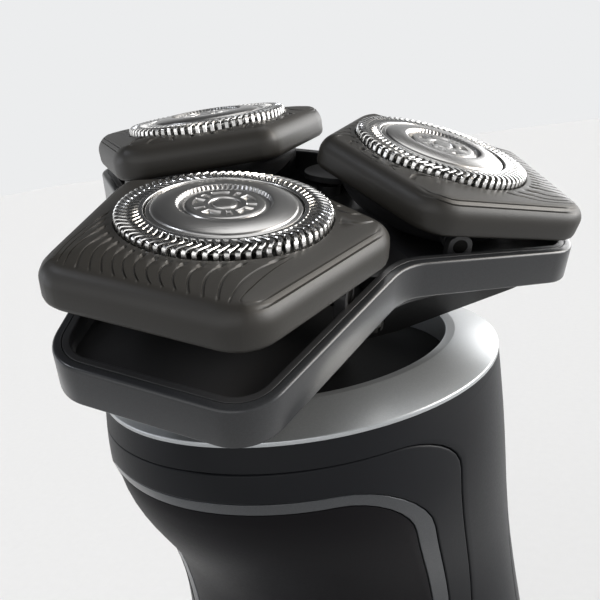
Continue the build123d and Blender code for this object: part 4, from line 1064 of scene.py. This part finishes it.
def button_hole(loop):
    """Edge of the button's hole, point for point with a loop round it."""
    hole = []
    for spin, height in loop:
        angle = atan2(height - BUTTON_HEIGHT, handle_sizes(height)[0] * sin(spin))
        level = BUTTON_HEIGHT + (BUTTON_RADIUS + MOVE_GAP) * sin(angle)
        across = (BUTTON_RADIUS + MOVE_GAP) * cos(angle)
        hole.append((asin(across / handle_sizes(level)[0]), level))
    return hole


# The whole shaver

def show_heads():
    """The three heads, each from the same forms."""
    plate, rings, sector, bowl = skin_plate(), cap_rings(), disc_sector(), head_bowl()
    lamellae = grown(cap_lamella(), TURNED_COPIES, {"Count": CAP_SLOTS, "Finish": FINISHES["cap_steel"]})
    disc = grown(sector, TURNED_COPIES, {"Count": DISC_SECTORS, "Finish": FINISHES["disc_steel"]})
    for name, (angle, tilt) in HEADS.items():
        place = UNIT_PLACE @ turn("Z", angle) @ shift(HEAD_OFFSET, 0, PIVOT_HEIGHT) @ turn("Y", tilt)
        show(f"skin_plate_{name}", [plate], place)
        show(f"shaving_cap_{name}", [lamellae, *rings], place)
        show(f"cap_disc_{name}", [disc], place)
        show(f"head_base_{name}", bowl, place)


def show_handle():
    """Panels of the handle's skin, its grip and its button."""
    frame_edge = window_loop(FRAME_WINDOW, -SEAM)
    neck = panel_form(window_loop(FRAME_WINDOW, SEAM), shell_loop(COLLAR_SEAT, False), lips=(SHELL_LIP, 0))
    show("neck_housing", [neck, neck_back()])
    show("front_shell", [panel_form(window_loop(FASCIA_WINDOW, TRIM_WIDTH + SEAM), frame_edge)])
    grip_hole = turned_round(window_loop(GRIP_WINDOW, SEAM))
    show("rear_shell", [panel_form(grip_hole, turned_round(shell_loop(PARTING_HEIGHT, True)))])
    trim_outside = window_loop(FASCIA_WINDOW, TRIM_WIDTH - SEAM)
    trim_inside = window_loop(FASCIA_WINDOW, SEAM)
    show("fascia_trim", [panel_form(trim_outside, trim_inside, TRIM_INSETS, lips=(TRIM_LIP, TRIM_LIP))])
    edge = window_loop(FASCIA_WINDOW, -SEAM)
    recess, fascia_lips = (FASCIA_RECESS, FASCIA_RECESS), (FASCIA_LIP, FASCIA_LIP)
    show("front_fascia", [panel_form(edge, button_hole(edge), recess, lips=fascia_lips)])
    half_length, half_height = LENS_SIZE[0] / 2, LENS_SIZE[1] / 2
    slot = window_loop((LENS_HEIGHT + half_height, LENS_HEIGHT - half_height, half_length, half_length,
                        half_height - SEAM))
    lens_middle = [(0.0, LENS_HEIGHT)] * len(slot)
    show("indicator_lens", [panel_form(slot, lens_middle, (LENS_INSET, LENS_INSET), lips=(LENS_LIP, 0))])
    pad_edge = turned_round(window_loop(GRIP_WINDOW, -SEAM))
    pad_middle = [(pi, (GRIP_WINDOW[0] + GRIP_WINDOW[1]) / 2)] * len(pad_edge)
    pad = panel_form(pad_edge, pad_middle, foot=GRIP_DEPTH, lips=(GRIP_LIP, 0))
    ribs = grown(grip_lines(), ROUND_RIBS, {
        "Rib Radius": RIB_RADIUS, "Rib Sides": RIB_SIDES, "Finish": FINISHES["grip_rubber"]})
    show("rear_grip", [pad, ribs])
    face_y = handle_point(0.0, BUTTON_HEIGHT, FASCIA_RECESS).y - BUTTON_PROUD
    button = power_button(BUTTON_STEM_END_Y - face_y)
    show("power_button", [button], shift(0, face_y, BUTTON_HEIGHT) @ turn("X", 90))


show_heads()
show("carrier_band", [carrier_band()], UNIT_PLACE)
show("carrier_tray", carrier_tray(), UNIT_PLACE)
show("collar_ring", [collar_ring()], shift(0, 0, GIMBAL_HEIGHT))
show_handle()


# Stage, light and camera

def make_floor():
    """Matt painted floor, pale to the eye but dim as a source of bounced light: undersides stay dark."""
    material, _, specks = start_material("painted_studio_floor", (FLOOR_SPECKS, 2.0))
    tree = material.node_tree
    pale = add(tree, "ShaderNodeMix", {"data_type": "RGBA"}, {
        FACTOR: specks, FIRST: linear(PALE_FLOOR[0]), SECOND: linear(PALE_FLOOR[1])})
    bounced = add(tree, "ShaderNodeLightPath").outputs["Is Diffuse Ray"]
    colour = add(tree, "ShaderNodeMix", {"data_type": "RGBA"}, {
        FACTOR: bounced, FIRST: pale.outputs[MIXED], SECOND: linear(DIM_BOUNCE)})
    shader = add(tree, "ShaderNodeBsdfPrincipled", inputs={
        "Base Color": colour.outputs[MIXED], "Roughness": 0.7, "Specular IOR Level": 0.0})
    add(tree, "ShaderNodeOutputMaterial", inputs={"Surface": shader.outputs["BSDF"]})
    mesh = bpy.data.meshes.new("floor")
    mesh.from_pydata([(x * FLOOR_HALF, y * FLOOR_HALF, 0) for x, y in SQUARE], [], [(0, 1, 2, 3)])
    mesh.materials.append(material)
    put("floor", mesh)


def make_world():
    """Dim even light. The camera, metal and glass see a pale backdrop under a darker studio ceiling."""
    world = bpy.data.worlds.new("studio")
    bpy.context.scene.world = world
    world.use_nodes = True
    tree = world.node_tree
    tree.nodes.clear()
    rays = add(tree, "ShaderNodeLightPath").outputs
    mirrored = add(tree, "ShaderNodeMath", {"operation": "MAXIMUM"}, {
        0: rays["Is Glossy Ray"], 1: rays["Is Transmission Ray"]})
    shown = add(tree, "ShaderNodeMath", {"operation": "MAXIMUM"}, {
        0: rays["Is Camera Ray"], 1: mirrored.outputs[0]})
    direction = add(tree, "ShaderNodeTexCoord").outputs["Generated"]
    upwards = add(tree, "ShaderNodeSeparateXYZ", inputs={"Vector": direction}).outputs["Z"]
    rise = add(tree, "ShaderNodeMapRange", {"interpolation_type": "SMOOTHSTEP"}, {
        "Value": upwards, "From Min": WALL_TOP, "From Max": CEILING_START}).outputs["Result"]
    room = add(tree, "ShaderNodeMix", {"data_type": "RGBA"}, {
        FACTOR: rise, FIRST: linear(PALE_BACKDROP), SECOND: linear(DARK_CEILING)})
    ambient = add(tree, "ShaderNodeBackground", inputs={
        "Color": linear(AMBIENT_COLOUR), "Strength": AMBIENT_STRENGTH})
    backdrop = add(tree, "ShaderNodeBackground", inputs={"Color": room.outputs[MIXED], "Strength": 1.0})
    mix = add(tree, "ShaderNodeMixShader", inputs={
        0: shown.outputs[0], 1: ambient.outputs[0], 2: backdrop.outputs[0]})
    add(tree, "ShaderNodeOutputWorld", inputs={"Surface": mix.outputs[0]})


def make_light(name, towards, spread, strength, colour):
    """Wide far lamp, so that the floor is lit evenly. Towards points at the lamp; spread is its width."""
    lamp = bpy.data.lights.new(name, "SUN")
    lamp.angle = radians(spread)
    lamp.energy = strength
    lamp.color = linear(colour)[:3]
    put(name, lamp).matrix_world = Vector(towards).to_track_quat("Z", "Y").to_matrix().to_4x4()


def make_camera():
    camera_data = bpy.data.cameras.new("camera")
    camera_data.angle = radians(CAMERA_VIEW_ANGLE)
    camera_data.clip_start = CAMERA_NEAR * MM
    view = turn("Z", CAMERA_AZIMUTH) @ turn("X", 90 - CAMERA_ELEVATION) @ turn("Z", CAMERA_ROLL)
    place = shift(*CAMERA_AIM) @ view @ shift(0, 0, CAMERA_DISTANCE)
    place.translation *= MM
    camera = put("camera", camera_data)
    camera.matrix_world = place
    bpy.context.scene.camera = camera


make_floor()
make_world()
for lamp_name, lamp_settings in LAMPS.items():
    make_light(lamp_name, *lamp_settings)
make_camera()
bpy.context.scene.view_settings.view_transform = "Standard"
